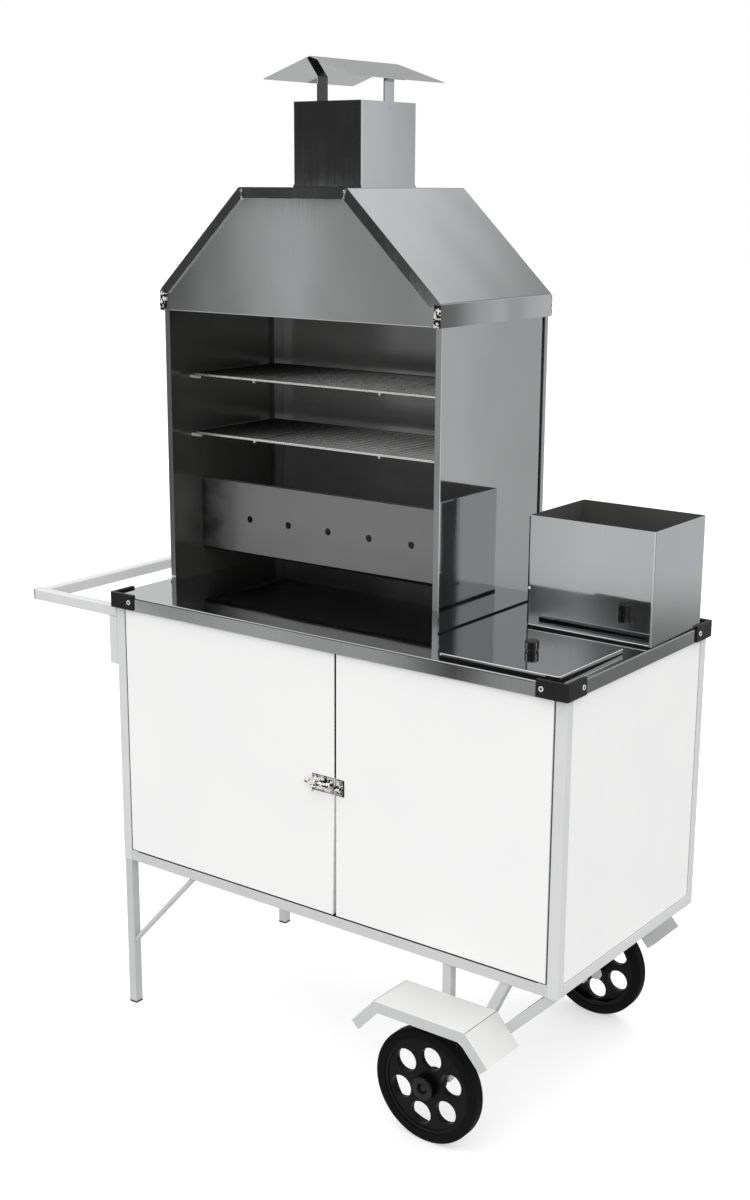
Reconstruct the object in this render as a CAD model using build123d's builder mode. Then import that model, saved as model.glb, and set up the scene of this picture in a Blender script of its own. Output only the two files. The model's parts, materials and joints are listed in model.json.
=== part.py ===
from build123d import *
import math
import os

# A barbecue cart: a tube-framed cabinet on two legs and two wheels, with a polished steel
# worktop, a hooded charcoal oven, an open bin, a lidded well and a push handle.
# All sizes are in millimetres. +X runs along the front to the right, +Y to the back, +Z up.
# Sizes named _in are measured in from a right or left side, and sizes named _off along X from a middle.

# Frame of square tube
cab_w = 950.0
cab_d = 470.0
tube = 20.0
tube_wall = 1.5
tube_round = 2.0
rail_z = 297.5
leg_insert = 60.0
foot_h = 3.0
foot_over = 0.6
foot_plug = 15.0
brace_d = 10.0
brace_leg_z = 133.0
brace_run = 152.0

# Worktop of folded sheet
top_z = 814.5
lip_h = 24.5
sheet = 1.2
over_side = 3.0
over_front = 6.0
fold_r = 2.0

# Corner guards and their screws
guard_t = 3.0
guard_cap = 4.0
guard_arm = 57.0
guard_short = 0.5
guard_top = 7.0
guard_round = 7.0
guard_corner = 4.0
guard_clear = 0.4
screw_d = 9.0
screw_h = 2.0
screw_in = 10.0
screw_taper = 30.0

# Push handle
handle_out = 217.0
handle_cap = 2.5
handle_drop = 0.5
upright_h = 90.0

# Doors, each a shallow pan on two pivot pins
door_t = 12.0
door_sheet = 1.0
door_edge_r = 1.5
side_gap = 3.0
door_gap_low = 2.0
door_gap_top = 2.0
split_off = 32.7
split_gap = 3.4
sag = 4.0
pin_in = 8.0
pin_d = 6.0
pin_clear = 0.05
pin_reach = 9.0
pin_hold = 22.0

# Barrel-bolt latch
latch_z = 555.0
latch_w = 45.0
latch_h = 27.0
latch_t = 1.5
latch_edge = 1.2
bolt_d = 7.0
bolt_clear = 0.08
bolt_len = 57.0
bolt_lift = 0.6
guide_w = 9.0
guide_in = 2.0
guide_wall = 2.0
keeper_w = 14.0
keeper_edge = 2.0
thumb_d = 7.0
thumb_h = 13.0
thumb_gap = 1.0
thumb_slim = 1.0
thumb_flare = 4.0
latch_screw_d = 4.5
latch_screw_h = 1.2
latch_screw_in = 3.5

# Cabinet panels
panel_t = 1.0
panel_in = 1.5

# Wheels and axle
wheel_r = 100.0
wheel_in = 211.0
wheel_out = 56.5
tyre_w = 25.0
tyre_wall = 17.0
tyre_round = 4.5
web_in = 3.0
web_t = 10.0
rim_t = 7.0
rim_in = 1.5
hole_ring = 52.8
hole_d = 40.0
hole_turn = 19.5
rear_turn = 13.5
hub_d = 42.0
hub_round = 2.0
hub_out = 66.0
hub_in = 22.0
axle_d = 12.0
axle_clear = 0.06
axle_end = 3.0
axle_chamfer = 1.0
run_gap = 0.3
cup_d = 19.0
cup_deep = 9.0
cup_gap = 0.5
washer_t = 2.0
spacer_d = 19.0

# Axle struts
strut_foot = 16.0
middle_in = 98.0
middle_angle = 25.5
corner_in = 12.0
corner_angle = 45.0

# Fenders of bent channel
fender_ahead = 10.0
fender_z = 245.0
fender_len = 179.0
fender_out = 93.0
fender_t = 1.5
fender_lip = 19.0
wing_run = 44.0
wing_fall = 48.0

# Oven walls
oven_in = 20.5
oven_w = 607.0
oven_rear = 19.0
oven_d = 326.0
oven_h = 504.5
flange = 12.0
groove_back = 19.0
groove_w = 9.5
groove_deep = 6.0
back_flange = 30.0
wall_lap = 26.0

# Firebox
fire_set = 89.0
fire_lift = 53.5
fire_h = 134.0
fire_fold = 12.0
air_d = 13.0
air_pitch = 92.0
air_count = 5

# Grates and their pegs
grate_side = 14.8
grate_set = 53.0
grate_back = 41.0
grate_rise = 277.5
grate_step = 108.0
rod_d = 5.0
rod_bend = 8.0
wire_d = 3.0
wire_count = 14
rib_off = 140.0
weld = 0.6
peg_d = 6.0
peg_hold = 7.2
peg_in = 12.0
rest_gap = 0.3

# Hood, chimney and cap
skirt_h = 38.0
hood_h = 216.0
hood_top_w = 233.0
hood_over = 7.0
hood_bend = 4.0
rim_w = 18.0
rim_notch = 3.0
flue_off = 3.0
flue_w = 148.0
flue_d = 156.0
flue_round = 3.0
flue_h = 142.0
flue_dip = 12.0
cap_w = 200.0
cap_l = 248.0
cap_lift = 69.5
cap_rise = 33.5
strap_w = 28.0
strap_t = 2.0
strap_lap = 24.0
strap_tab = 26.0

# Rivets of the seams, the hood and the straps
rivet_d = 5.0
rivet_h = 1.4
rivet_pitch = 104.5
rivet_first = 222.0
rivet_rows = 3
rivet_strap = 11.0
rivet_edge = 6.0

# Bin, lid and well
bin_in = 2.0
bin_w = 234.0
bin_rear = 29.0
bin_d = 180.0
bin_h = 192.0
bin_round = 3.0
hem_h = 4.0
hem_out = 0.8
lid_in = 24.0
lid_w = 220.0
lid_y = 9.0
lid_d = 202.0
lid_h = 8.0
lid_round = 4.0
knob_d = 23.0
knob_neck = 20.0
knob_h = 17.5
knob_foot = 1.2
knob_round = 2.5
well_in = 17.0
well_deep = 100.0
well_rim = 12.0
well_round = 12.0
well_clear = 2.0

# Places that follow from the sizes. The origin lies on the floor under the middle of the whole part.
left_reach = cab_w / 2 + handle_out + handle_cap
right_reach = cab_w / 2 + over_side + guard_t + screw_h
cab_x = (left_reach - right_reach) / 2
front_y = -cab_d / 2
left_x = cab_x - cab_w / 2
right_x = cab_x + cab_w / 2
tube_bore = tube - 2 * tube_wall
post_left_x = left_x + tube / 2
post_right_x = right_x - tube / 2
post_y = cab_d / 2 - tube / 2
frame_top = top_z - sheet
rail_top = rail_z + tube
top_rail_z = frame_top - tube
rail_len = cab_w - 2 * tube
side_len = cab_d - 2 * tube
top_w = cab_w + 2 * over_side
top_d = cab_d + 2 * over_front
cab_mid = Plane.YZ.offset(cab_x)

os.makedirs("parts", exist_ok=True)

# Corner posts
with BuildPart() as posts_left:
    with BuildSketch(Plane.XY.offset(rail_z)):
        with Locations((post_left_x, -post_y), (post_left_x, post_y)):
            RectangleRounded(tube, tube, tube_round)
            Rectangle(tube_bore, tube_bore, mode=Mode.SUBTRACT)
    extrude(amount=frame_top - rail_z)
posts_left.part.label = "posts_left"
export_step(posts_left.part, "parts/posts_left.step")

with BuildPart() as posts_right:
    with BuildSketch(Plane.XY.offset(rail_z)):
        with Locations((post_right_x, -post_y), (post_right_x, post_y)):
            RectangleRounded(tube, tube, tube_round)
            Rectangle(tube_bore, tube_bore, mode=Mode.SUBTRACT)
    extrude(amount=frame_top - rail_z)
posts_right.part.label = "posts_right"
export_step(posts_right.part, "parts/posts_right.step")

# Legs: a smaller tube that slides up inside each left post
leg = tube_bore
leg_bore = leg - 2 * tube_wall
with BuildPart() as legs:
    with BuildSketch(Plane.XY.offset(foot_h)):
        with Locations((post_left_x, -post_y), (post_left_x, post_y)):
            Rectangle(leg, leg)
            Rectangle(leg_bore, leg_bore, mode=Mode.SUBTRACT)
    extrude(amount=rail_z + leg_insert - foot_h)
legs.part.label = "legs"
export_step(legs.part, "parts/legs.step")

# Foot caps: a plate under each leg with a plug up inside the tube
with BuildPart() as foot_caps:
    with BuildSketch():
        with Locations((post_left_x, -post_y), (post_left_x, post_y)):
            RectangleRounded(leg + 2 * foot_over, leg + 2 * foot_over, tube_round)
    extrude(amount=foot_h)
    with BuildSketch(Plane.XY.offset(foot_h)):
        with Locations((post_left_x, -post_y), (post_left_x, post_y)):
            Rectangle(leg_bore, leg_bore)
    extrude(amount=foot_plug)
foot_caps.part.label = "foot_caps"
export_step(foot_caps.part, "parts/foot_caps.step")

# Leg braces: a slanted round bar from each leg up to the bottom rail
leg_face = post_left_x + leg / 2
brace_rise = rail_z - brace_leg_z
brace_plane = Plane(
    origin=(leg_face, -post_y, brace_leg_z),
    x_dir=(0, 1, 0),
    z_dir=(brace_run, 0, brace_rise),
)
with BuildPart() as leg_braces:
    with BuildSketch(brace_plane):
        Circle(brace_d / 2)
    extrude(amount=2 * brace_run + 2 * brace_rise, both=True)
    split(bisect_by=Plane.YZ.offset(leg_face), keep=Keep.TOP)
    split(bisect_by=Plane.XY.offset(rail_z), keep=Keep.BOTTOM)
    mirror(about=Plane.XZ)
leg_braces.part.label = "leg_braces"
export_step(leg_braces.part, "parts/leg_braces.step")

# Hinge lines, shared by the doors and by the rails that hold their pins
left_hinge_x = left_x + tube + side_gap + pin_in
right_hinge_x = right_x - tube - side_gap - pin_in
hinge_y = front_y + door_t / 2

# Bottom rails
with BuildPart() as rails_bottom_long:
    with BuildSketch(Plane.YZ.offset(left_x + tube)):
        with Locations((-post_y, rail_z + tube / 2), (post_y, rail_z + tube / 2)):
            RectangleRounded(tube, tube, tube_round)
            Rectangle(tube_bore, tube_bore, mode=Mode.SUBTRACT)
    extrude(amount=rail_len)
    with BuildSketch(Plane.XY.offset(rail_top)):
        with Locations((left_hinge_x, hinge_y), (right_hinge_x, hinge_y)):
            Circle(pin_d / 2 + pin_clear)
    extrude(amount=-tube / 2, mode=Mode.SUBTRACT)
rails_bottom_long.part.label = "rails_bottom_long"
export_step(rails_bottom_long.part, "parts/rails_bottom_long.step")

with BuildPart() as rails_bottom_side:
    with BuildSketch(Plane.XZ):
        with Locations((post_left_x, rail_z + tube / 2), (post_right_x, rail_z + tube / 2)):
            RectangleRounded(tube, tube, tube_round)
            Rectangle(tube_bore, tube_bore, mode=Mode.SUBTRACT)
    extrude(amount=side_len / 2, both=True)
rails_bottom_side.part.label = "rails_bottom_side"
export_step(rails_bottom_side.part, "parts/rails_bottom_side.step")

# Top rails, right under the worktop sheet
with BuildPart() as rails_top_long:
    with BuildSketch(Plane.YZ.offset(left_x + tube)):
        with Locations((-post_y, top_rail_z + tube / 2), (post_y, top_rail_z + tube / 2)):
            RectangleRounded(tube, tube, tube_round)
            Rectangle(tube_bore, tube_bore, mode=Mode.SUBTRACT)
    extrude(amount=rail_len)
    with BuildSketch(Plane.XY.offset(top_rail_z)):
        with Locations((left_hinge_x, hinge_y), (right_hinge_x, hinge_y)):
            Circle(pin_d / 2 + pin_clear)
    extrude(amount=tube / 2, mode=Mode.SUBTRACT)
rails_top_long.part.label = "rails_top_long"
export_step(rails_top_long.part, "parts/rails_top_long.step")

with BuildPart() as rails_top_side:
    with BuildSketch(Plane.XZ):
        with Locations((post_left_x, top_rail_z + tube / 2), (post_right_x, top_rail_z + tube / 2)):
            RectangleRounded(tube, tube, tube_round)
            Rectangle(tube_bore, tube_bore, mode=Mode.SUBTRACT)
    extrude(amount=side_len / 2, both=True)
rails_top_side.part.label = "rails_top_side"
export_step(rails_top_side.part, "parts/rails_top_side.step")

# Axle struts: an upright tube and two slanted ones carry each end of the axle
strut = tube_bore
strut_bore = strut - 2 * tube_wall
wheel_x = right_x - wheel_in
axle_z = wheel_r
axle_line = Plane(origin=(wheel_x, 0, axle_z), x_dir=(1, 0, 0), z_dir=(0, -1, 0))
strut_face = wheel_x + strut / 2
with BuildPart() as struts_upright:
    with BuildSketch(Plane.XY.offset(axle_z - strut_foot)):
        with Locations((wheel_x, -post_y), (wheel_x, post_y)):
            RectangleRounded(strut, strut, tube_round)
            Rectangle(strut_bore, strut_bore, mode=Mode.SUBTRACT)
    extrude(amount=rail_z - axle_z + strut_foot)
    with BuildSketch(axle_line):
        Circle(axle_d / 2)
    extrude(amount=cab_d, both=True, mode=Mode.SUBTRACT)
struts_upright.part.label = "struts_upright"
export_step(struts_upright.part, "parts/struts_upright.step")

corner_slope = math.radians(corner_angle)
corner_plane = Plane(
    origin=(right_x - corner_in, -post_y, rail_z),
    x_dir=(0, 1, 0),
    z_dir=(math.sin(corner_slope), 0, math.cos(corner_slope)),
)
with BuildPart() as struts_corner:
    with BuildSketch(corner_plane):
        RectangleRounded(strut, strut, tube_round)
        Rectangle(strut_bore, strut_bore, mode=Mode.SUBTRACT)
    extrude(amount=2 * rail_z, both=True)
    split(bisect_by=Plane.XY.offset(rail_z), keep=Keep.BOTTOM)
    split(bisect_by=Plane.YZ.offset(strut_face), keep=Keep.TOP)
    mirror(about=Plane.XZ)
struts_corner.part.label = "struts_corner"
export_step(struts_corner.part, "parts/struts_corner.step")

middle_slope = math.radians(middle_angle)
middle_plane = Plane(
    origin=(right_x - middle_in, -post_y, rail_z),
    x_dir=(0, 1, 0),
    z_dir=(math.sin(middle_slope), 0, math.cos(middle_slope)),
)
corner_upper_face = Plane(
    origin=corner_plane.origin + Vector(-math.cos(corner_slope), 0, math.sin(corner_slope)) * strut / 2,
    x_dir=(0, 1, 0),
    z_dir=(-math.cos(corner_slope), 0, math.sin(corner_slope)),
)
with BuildPart() as struts_middle:
    with BuildSketch(middle_plane):
        RectangleRounded(strut, strut, tube_round)
        Rectangle(strut_bore, strut_bore, mode=Mode.SUBTRACT)
    extrude(amount=2 * rail_z, both=True)
    split(bisect_by=Plane.XY.offset(rail_z), keep=Keep.BOTTOM)
    split(bisect_by=corner_upper_face, keep=Keep.TOP)
    split(bisect_by=Plane.YZ.offset(strut_face), keep=Keep.TOP)
    mirror(about=Plane.XZ)
struts_middle.part.label = "struts_middle"
export_step(struts_middle.part, "parts/struts_middle.step")

# Axle through both upright struts
hub_face = cab_d / 2 + hub_out
cup_floor = hub_face - cup_deep
axle_half = cup_floor + run_gap + washer_t + axle_end
with BuildPart() as axle:
    with BuildSketch(axle_line):
        Circle(axle_d / 2)
    extrude(amount=axle_half, both=True)
    chamfer(axle.edges().filter_by(GeomType.CIRCLE).group_by(Axis.Y)[0], axle_chamfer)
    chamfer(axle.edges().filter_by(GeomType.CIRCLE).group_by(Axis.Y)[-1], axle_chamfer)
axle.part.label = "axle"
export_step(axle.part, "parts/axle.step")

# Axle collars: a spacer between strut and hub, and a washer in the cup of each hub
strut_out = post_y + strut / 2
spacer_len = cab_d / 2 + hub_in - run_gap - strut_out
with BuildPart() as axle_collars:
    with BuildSketch(axle_line.offset(strut_out)):
        Circle(spacer_d / 2)
        Circle(axle_d / 2, mode=Mode.SUBTRACT)
    extrude(amount=spacer_len)
    with BuildSketch(axle_line.offset(cup_floor + run_gap)):
        Circle(cup_d / 2 - cup_gap)
        Circle(axle_d / 2, mode=Mode.SUBTRACT)
    extrude(amount=washer_t)
    mirror(about=Plane.XZ)
axle_collars.part.label = "axle_collars"
export_step(axle_collars.part, "parts/axle_collars.step")

# Wheel disc: cupped hub, web and rim turned in one piece, with six round holes through the web
wheel_half = Plane(origin=(wheel_x, 0, axle_z), x_dir=(1, 0, 0), z_dir=(0, 0, 1))
wheel_axis = Axis((wheel_x, 0, axle_z), (0, 1, 0))
rim_r = wheel_r - tyre_wall
tyre_face = cab_d / 2 + wheel_out
tyre_back = tyre_face - tyre_w
web_face = tyre_face - web_in
bore_r = axle_d / 2 + axle_clear
hub_back = cab_d / 2 + hub_in
with BuildPart() as wheel_disc_front:
    with BuildSketch(wheel_half):
        with BuildLine():
            Polyline(
                (bore_r, -cup_floor),
                (cup_d / 2, -cup_floor),
                (cup_d / 2, -hub_face),
                (hub_d / 2, -hub_face),
                (hub_d / 2, -web_face),
                (rim_r - rim_t, -web_face),
                (rim_r - rim_t, -tyre_face + rim_in),
                (rim_r, -tyre_face + rim_in),
                (rim_r, -tyre_back - rim_in),
                (rim_r - rim_t, -tyre_back - rim_in),
                (rim_r - rim_t, -web_face + web_t),
                (hub_d / 2, -web_face + web_t),
                (hub_d / 2, -hub_back),
                (bore_r, -hub_back),
                close=True,
            )
        make_face()
    revolve(axis=wheel_axis)
    hub_rings = wheel_disc_front.edges().filter_by(GeomType.CIRCLE).group_by(Axis.Y)[0]
    fillet(hub_rings.sort_by(SortBy.RADIUS)[-1], hub_round)
    with BuildSketch(axle_line.offset(tyre_face)):
        with PolarLocations(hole_ring, 6, start_angle=hole_turn):
            Circle(hole_d / 2)
    extrude(amount=-tyre_w, mode=Mode.SUBTRACT)
wheel_disc_front.part.label = "wheel_disc_front"
export_step(wheel_disc_front.part, "parts/wheel_disc_front.step")

with BuildPart() as wheel_disc_rear:
    add(wheel_disc_front.part.mirror(Plane.XZ).rotate(wheel_axis, -rear_turn))
wheel_disc_rear.part.label = "wheel_disc_rear"
export_step(wheel_disc_rear.part, "parts/wheel_disc_rear.step")

# Tyre band round each disc
with BuildPart() as tyre_front:
    with BuildSketch(wheel_half) as tyre_section:
        with Locations((wheel_r - tyre_wall / 2, -(tyre_face + tyre_back) / 2)):
            Rectangle(tyre_wall, tyre_w)
        fillet(tyre_section.vertices().group_by(Axis.X)[-1], tyre_round)
    revolve(axis=wheel_axis)
tyre_front.part.label = "tyre_front"
export_step(tyre_front.part, "parts/tyre_front.step")

with BuildPart() as tyre_rear:
    mirror(tyre_front.part, about=Plane.XZ)
tyre_rear.part.label = "tyre_rear"
export_step(tyre_rear.part, "parts/tyre_rear.step")

# Fenders: a channel bent over the wheel, welded to the outer faces of the struts
fender_x = wheel_x + fender_ahead
fender_half = fender_len / 2
fender_edge = -cab_d / 2 - fender_out
fender_depth = -strut_out - fender_edge
wing_low = fender_z - wing_fall
wing_start = (fender_x - fender_half - wing_run, fender_edge, wing_low)
with BuildPart() as fender_front:
    with BuildLine() as fender_path:
        Polyline(
            wing_start,
            (fender_x - fender_half, fender_edge, fender_z),
            (fender_x + fender_half, fender_edge, fender_z),
            (fender_x + fender_half + wing_run, fender_edge, wing_low),
        )
    with BuildSketch(Plane(origin=wing_start, x_dir=(0, 1, 0), z_dir=(wing_run, 0, wing_fall))):
        with BuildLine():
            Polyline(
                (0, -fender_lip),
                (0, 0),
                (fender_depth, 0),
                (fender_depth, -fender_lip),
                (fender_depth - fender_t, -fender_lip),
                (fender_depth - fender_t, -fender_t),
                (fender_t, -fender_t),
                (fender_t, -fender_lip),
                close=True,
            )
        make_face()
    sweep(path=fender_path.wires()[0], transition=Transition.RIGHT)
fender_front.part.label = "fender_front"
export_step(fender_front.part, "parts/fender_front.step")

with BuildPart() as fender_rear:
    mirror(fender_front.part, about=Plane.XZ)
fender_rear.part.label = "fender_rear"
export_step(fender_rear.part, "parts/fender_rear.step")

# Cabinet panels, set a little in from the faces of the frame
panel_h = top_rail_z - rail_top
panel_mid_z = (top_rail_z + rail_top) / 2
with BuildPart() as panel_left:
    with BuildSketch(Plane.YZ.offset(left_x + panel_in)):
        with Locations((0, panel_mid_z)):
            Rectangle(side_len, panel_h)
    extrude(amount=panel_t)
panel_left.part.label = "panel_left"
export_step(panel_left.part, "parts/panel_left.step")

with BuildPart() as panel_right:
    with BuildSketch(Plane.YZ.offset(right_x - panel_in)):
        with Locations((0, panel_mid_z)):
            Rectangle(side_len, panel_h)
    extrude(amount=-panel_t)
panel_right.part.label = "panel_right"
export_step(panel_right.part, "parts/panel_right.step")

with BuildPart() as panel_back:
    with BuildSketch(Plane.XZ.offset(front_y + panel_in)):
        with Locations((cab_x, panel_mid_z)):
            Rectangle(rail_len, panel_h)
    extrude(amount=panel_t)
panel_back.part.label = "panel_back"
export_step(panel_back.part, "parts/panel_back.step")

with BuildPart() as cabinet_floor:
    with BuildSketch(Plane.XY.offset(rail_top)):
        with Locations((cab_x, 0)):
            Rectangle(rail_len, side_len)
    extrude(amount=-panel_t)
cabinet_floor.part.label = "cabinet_floor"
export_step(cabinet_floor.part, "parts/cabinet_floor.step")

# Worktop: one folded sheet with a lip all round and a hole over the well
lid_x = right_x + over_side - lid_in - lid_w / 2
well_w = lid_w - 2 * well_in
well_front = front_y + tube + well_clear + well_rim
well_back = front_y + lid_y + lid_d - well_in
well_d = well_back - well_front
well_mid_y = (well_front + well_back) / 2
with BuildPart() as worktop:
    with BuildSketch(Plane.XY.offset(top_z - lip_h)):
        with Locations((cab_x, 0)):
            Rectangle(top_w, top_d)
    extrude(amount=lip_h)
    fillet(worktop.edges().group_by(Axis.Z)[-1], fold_r)
    with BuildSketch(Plane.XY.offset(top_z - lip_h)):
        with Locations((cab_x, 0)):
            Rectangle(top_w - 2 * sheet, top_d - 2 * sheet)
    extrude(amount=lip_h - sheet, mode=Mode.SUBTRACT)
    with BuildSketch(Plane.XY.offset(top_z)):
        with Locations((lid_x, well_mid_y)):
            RectangleRounded(well_w, well_d, well_round)
    extrude(amount=-sheet, mode=Mode.SUBTRACT)
worktop.part.label = "worktop"
export_step(worktop.part, "parts/worktop.step")

# Well: a drawn pan whose rim is fixed to the underside of the worktop
with BuildPart() as well:
    with BuildSketch(Plane.XY.offset(frame_top)):
        with Locations((lid_x, well_mid_y)):
            RectangleRounded(well_w + 2 * well_rim, well_d + 2 * well_rim, well_round)
    extrude(amount=-sheet)
    with BuildSketch(Plane.XY.offset(frame_top)):
        with Locations((lid_x, well_mid_y)):
            RectangleRounded(well_w + 2 * sheet, well_d + 2 * sheet, well_round + sheet)
    extrude(amount=-well_deep)
    with BuildSketch(Plane.XY.offset(frame_top)):
        with Locations((lid_x, well_mid_y)):
            RectangleRounded(well_w, well_d, well_round)
    extrude(amount=sheet - well_deep, mode=Mode.SUBTRACT)
well.part.label = "well"
export_step(well.part, "parts/well.step")

# Corner guards: an angle round each corner of the worktop, with a flange over its top.
# The flange at the rear right is cut away where the bin stands.
bin_x = right_x + over_side - bin_in - bin_w / 2
bin_mid_y = cab_d / 2 - bin_rear - bin_d / 2
guard_x = cab_x + top_w / 2 + guard_t
guard_y = -top_d / 2 - guard_t
guard_z = top_z + guard_cap
guard_h = lip_h + guard_cap - guard_short
guard_mid_z = guard_z - guard_h / 2
with BuildPart() as corner_guards:
    with BuildSketch(Plane.XZ.offset(-guard_y)) as guard_front_arm:
        with Locations((guard_x - guard_arm / 2, guard_mid_z)):
            Rectangle(guard_arm, guard_h)
        fillet(guard_front_arm.vertices().group_by(Axis.X)[0].sort_by(Axis.Z)[0], guard_round)
    extrude(amount=-guard_t)
    with BuildSketch(Plane.YZ.offset(guard_x)) as guard_side_arm:
        with Locations((guard_y + guard_arm / 2, guard_mid_z)):
            Rectangle(guard_arm, guard_h)
        fillet(guard_side_arm.vertices().group_by(Axis.Y)[-1].sort_by(Axis.Z)[0], guard_round)
    extrude(amount=-guard_t)
    with BuildSketch(Plane.XY.offset(top_z)):
        with Locations((guard_x - guard_arm / 2, guard_y + guard_top / 2)):
            Rectangle(guard_arm, guard_top)
        with Locations((guard_x - guard_top / 2, guard_y + guard_arm / 2)):
            Rectangle(guard_top, guard_arm)
    extrude(amount=guard_cap)
    guard_uprights = corner_guards.edges().filter_by(Axis.Z).group_by(Axis.X)[-1]
    fillet(guard_uprights.sort_by(Axis.Y)[0], guard_corner)
    mirror(about=Plane.XZ)
    mirror(about=cab_mid)
    with BuildSketch(Plane.XY.offset(top_z)):
        with Locations((bin_x, bin_mid_y)):
            Rectangle(bin_w + 2 * hem_out + 2 * guard_clear, bin_d + 2 * hem_out + 2 * guard_clear)
    extrude(amount=guard_cap, mode=Mode.SUBTRACT)
corner_guards.part.label = "corner_guards"
export_step(corner_guards.part, "parts/corner_guards.step")

# Guard screws: one round head on each arm
with BuildPart() as guard_screws:
    with BuildSketch(Plane.XZ.offset(-guard_y)):
        with Locations((guard_x - guard_arm + screw_in, guard_mid_z)):
            Circle(screw_d / 2)
    extrude(amount=screw_h, taper=screw_taper)
    with BuildSketch(Plane.YZ.offset(guard_x)):
        with Locations((guard_y + guard_arm - screw_in, guard_mid_z)):
            Circle(screw_d / 2)
    extrude(amount=screw_h, taper=screw_taper)
    mirror(about=Plane.XZ)
    mirror(about=cab_mid)
guard_screws.part.label = "guard_screws"
export_step(guard_screws.part, "parts/guard_screws.step")

# Push handle: two arms on uprights against the left posts, and a grip between the arms
arm_top = top_z - lip_h - handle_drop
arm_z = arm_top - tube / 2
with BuildPart() as handle_arms:
    with BuildSketch(Plane.YZ.offset(left_x)):
        with Locations((-post_y, arm_z), (post_y, arm_z)):
            RectangleRounded(tube, tube, tube_round)
            Rectangle(tube_bore, tube_bore, mode=Mode.SUBTRACT)
    extrude(amount=-handle_out)
handle_arms.part.label = "handle_arms"
export_step(handle_arms.part, "parts/handle_arms.step")

with BuildPart() as handle_uprights:
    with BuildSketch(Plane.XY.offset(arm_top - tube)):
        with Locations((left_x - tube / 2, -post_y), (left_x - tube / 2, post_y)):
            RectangleRounded(tube, tube, tube_round)
            Rectangle(tube_bore, tube_bore, mode=Mode.SUBTRACT)
    extrude(amount=-upright_h)
handle_uprights.part.label = "handle_uprights"
export_step(handle_uprights.part, "parts/handle_uprights.step")

with BuildPart() as handle_grip:
    with BuildSketch(Plane.XZ):
        with Locations((left_x - handle_out + tube / 2, arm_z)):
            RectangleRounded(tube, tube, tube_round)
            Rectangle(tube_bore, tube_bore, mode=Mode.SUBTRACT)
    extrude(amount=side_len / 2, both=True)
handle_grip.part.label = "handle_grip"
export_step(handle_grip.part, "parts/handle_grip.step")

with BuildPart() as handle_caps:
    with BuildSketch(Plane.YZ.offset(left_x - handle_out)):
        with Locations((-post_y, arm_z), (post_y, arm_z)):
            RectangleRounded(tube, tube, tube_round)
    extrude(amount=-handle_cap)
    with BuildSketch(Plane.YZ.offset(left_x - handle_out)):
        with Locations((-post_y, arm_z), (post_y, arm_z)):
            Rectangle(tube_bore, tube_bore)
    extrude(amount=foot_plug)
handle_caps.part.label = "handle_caps"
export_step(handle_caps.part, "parts/handle_caps.step")

# Doors: flush pans between the posts; the left one sags a little below the latch
door_low = rail_top + door_gap_low
door_high = top_z - lip_h - door_gap_top
left_edge = left_hinge_x - pin_in
left_free = cab_x + split_off - split_gap / 2
right_edge = right_hinge_x + pin_in
right_free = cab_x + split_off + split_gap / 2
door_plane = Plane.XZ.offset(-front_y)
with BuildPart() as door_left:
    with BuildSketch(door_plane) as left_outline:
        with BuildLine():
            Polyline(
                (left_edge, door_low),
                (left_edge, door_high),
                (left_free, door_high),
                (left_free, latch_z),
                (left_free - sag, door_low),
                close=True,
            )
        make_face()
    extrude(amount=-door_t)
    fillet(door_left.faces().sort_by(Axis.Y)[0].edges(), door_edge_r)
    with BuildSketch(door_plane.offset(-door_sheet)):
        add(left_outline.sketch_local)
        offset(amount=-door_sheet, mode=Mode.REPLACE)
    extrude(amount=-door_t, mode=Mode.SUBTRACT)
    with BuildSketch(Plane.XY.offset(door_low)):
        with Locations((left_hinge_x, hinge_y)):
            Circle(pin_d / 2)
    extrude(amount=door_high - door_low, mode=Mode.SUBTRACT)
door_left.part.label = "door_left"
export_step(door_left.part, "parts/door_left.step")

with BuildPart() as door_right:
    with BuildSketch(door_plane) as right_outline:
        with Locations(((right_free + right_edge) / 2, (door_low + door_high) / 2)):
            Rectangle(right_edge - right_free, door_high - door_low)
    extrude(amount=-door_t)
    fillet(door_right.faces().sort_by(Axis.Y)[0].edges(), door_edge_r)
    with BuildSketch(door_plane.offset(-door_sheet)):
        add(right_outline.sketch_local)
        offset(amount=-door_sheet, mode=Mode.REPLACE)
    extrude(amount=-door_t, mode=Mode.SUBTRACT)
    with BuildSketch(Plane.XY.offset(door_low)):
        with Locations((right_hinge_x, hinge_y)):
            Circle(pin_d / 2)
    extrude(amount=door_high - door_low, mode=Mode.SUBTRACT)
door_right.part.label = "door_right"
export_step(door_right.part, "parts/door_right.step")

# Pivot pins: fixed in the folds of each door, turning in the rails
with BuildPart() as pins_left:
    with BuildSketch(Plane.XY.offset(rail_top - pin_reach)):
        with Locations((left_hinge_x, hinge_y)):
            Circle(pin_d / 2)
    extrude(amount=pin_reach + door_gap_low + pin_hold)
    with BuildSketch(Plane.XY.offset(top_rail_z + pin_reach)):
        with Locations((left_hinge_x, hinge_y)):
            Circle(pin_d / 2)
    extrude(amount=door_high - pin_hold - top_rail_z - pin_reach)
pins_left.part.label = "pins_left"
export_step(pins_left.part, "parts/pins_left.step")

with BuildPart() as pins_right:
    mirror(pins_left.part, about=cab_mid)
pins_right.part.label = "pins_right"
export_step(pins_right.part, "parts/pins_right.step")

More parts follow.
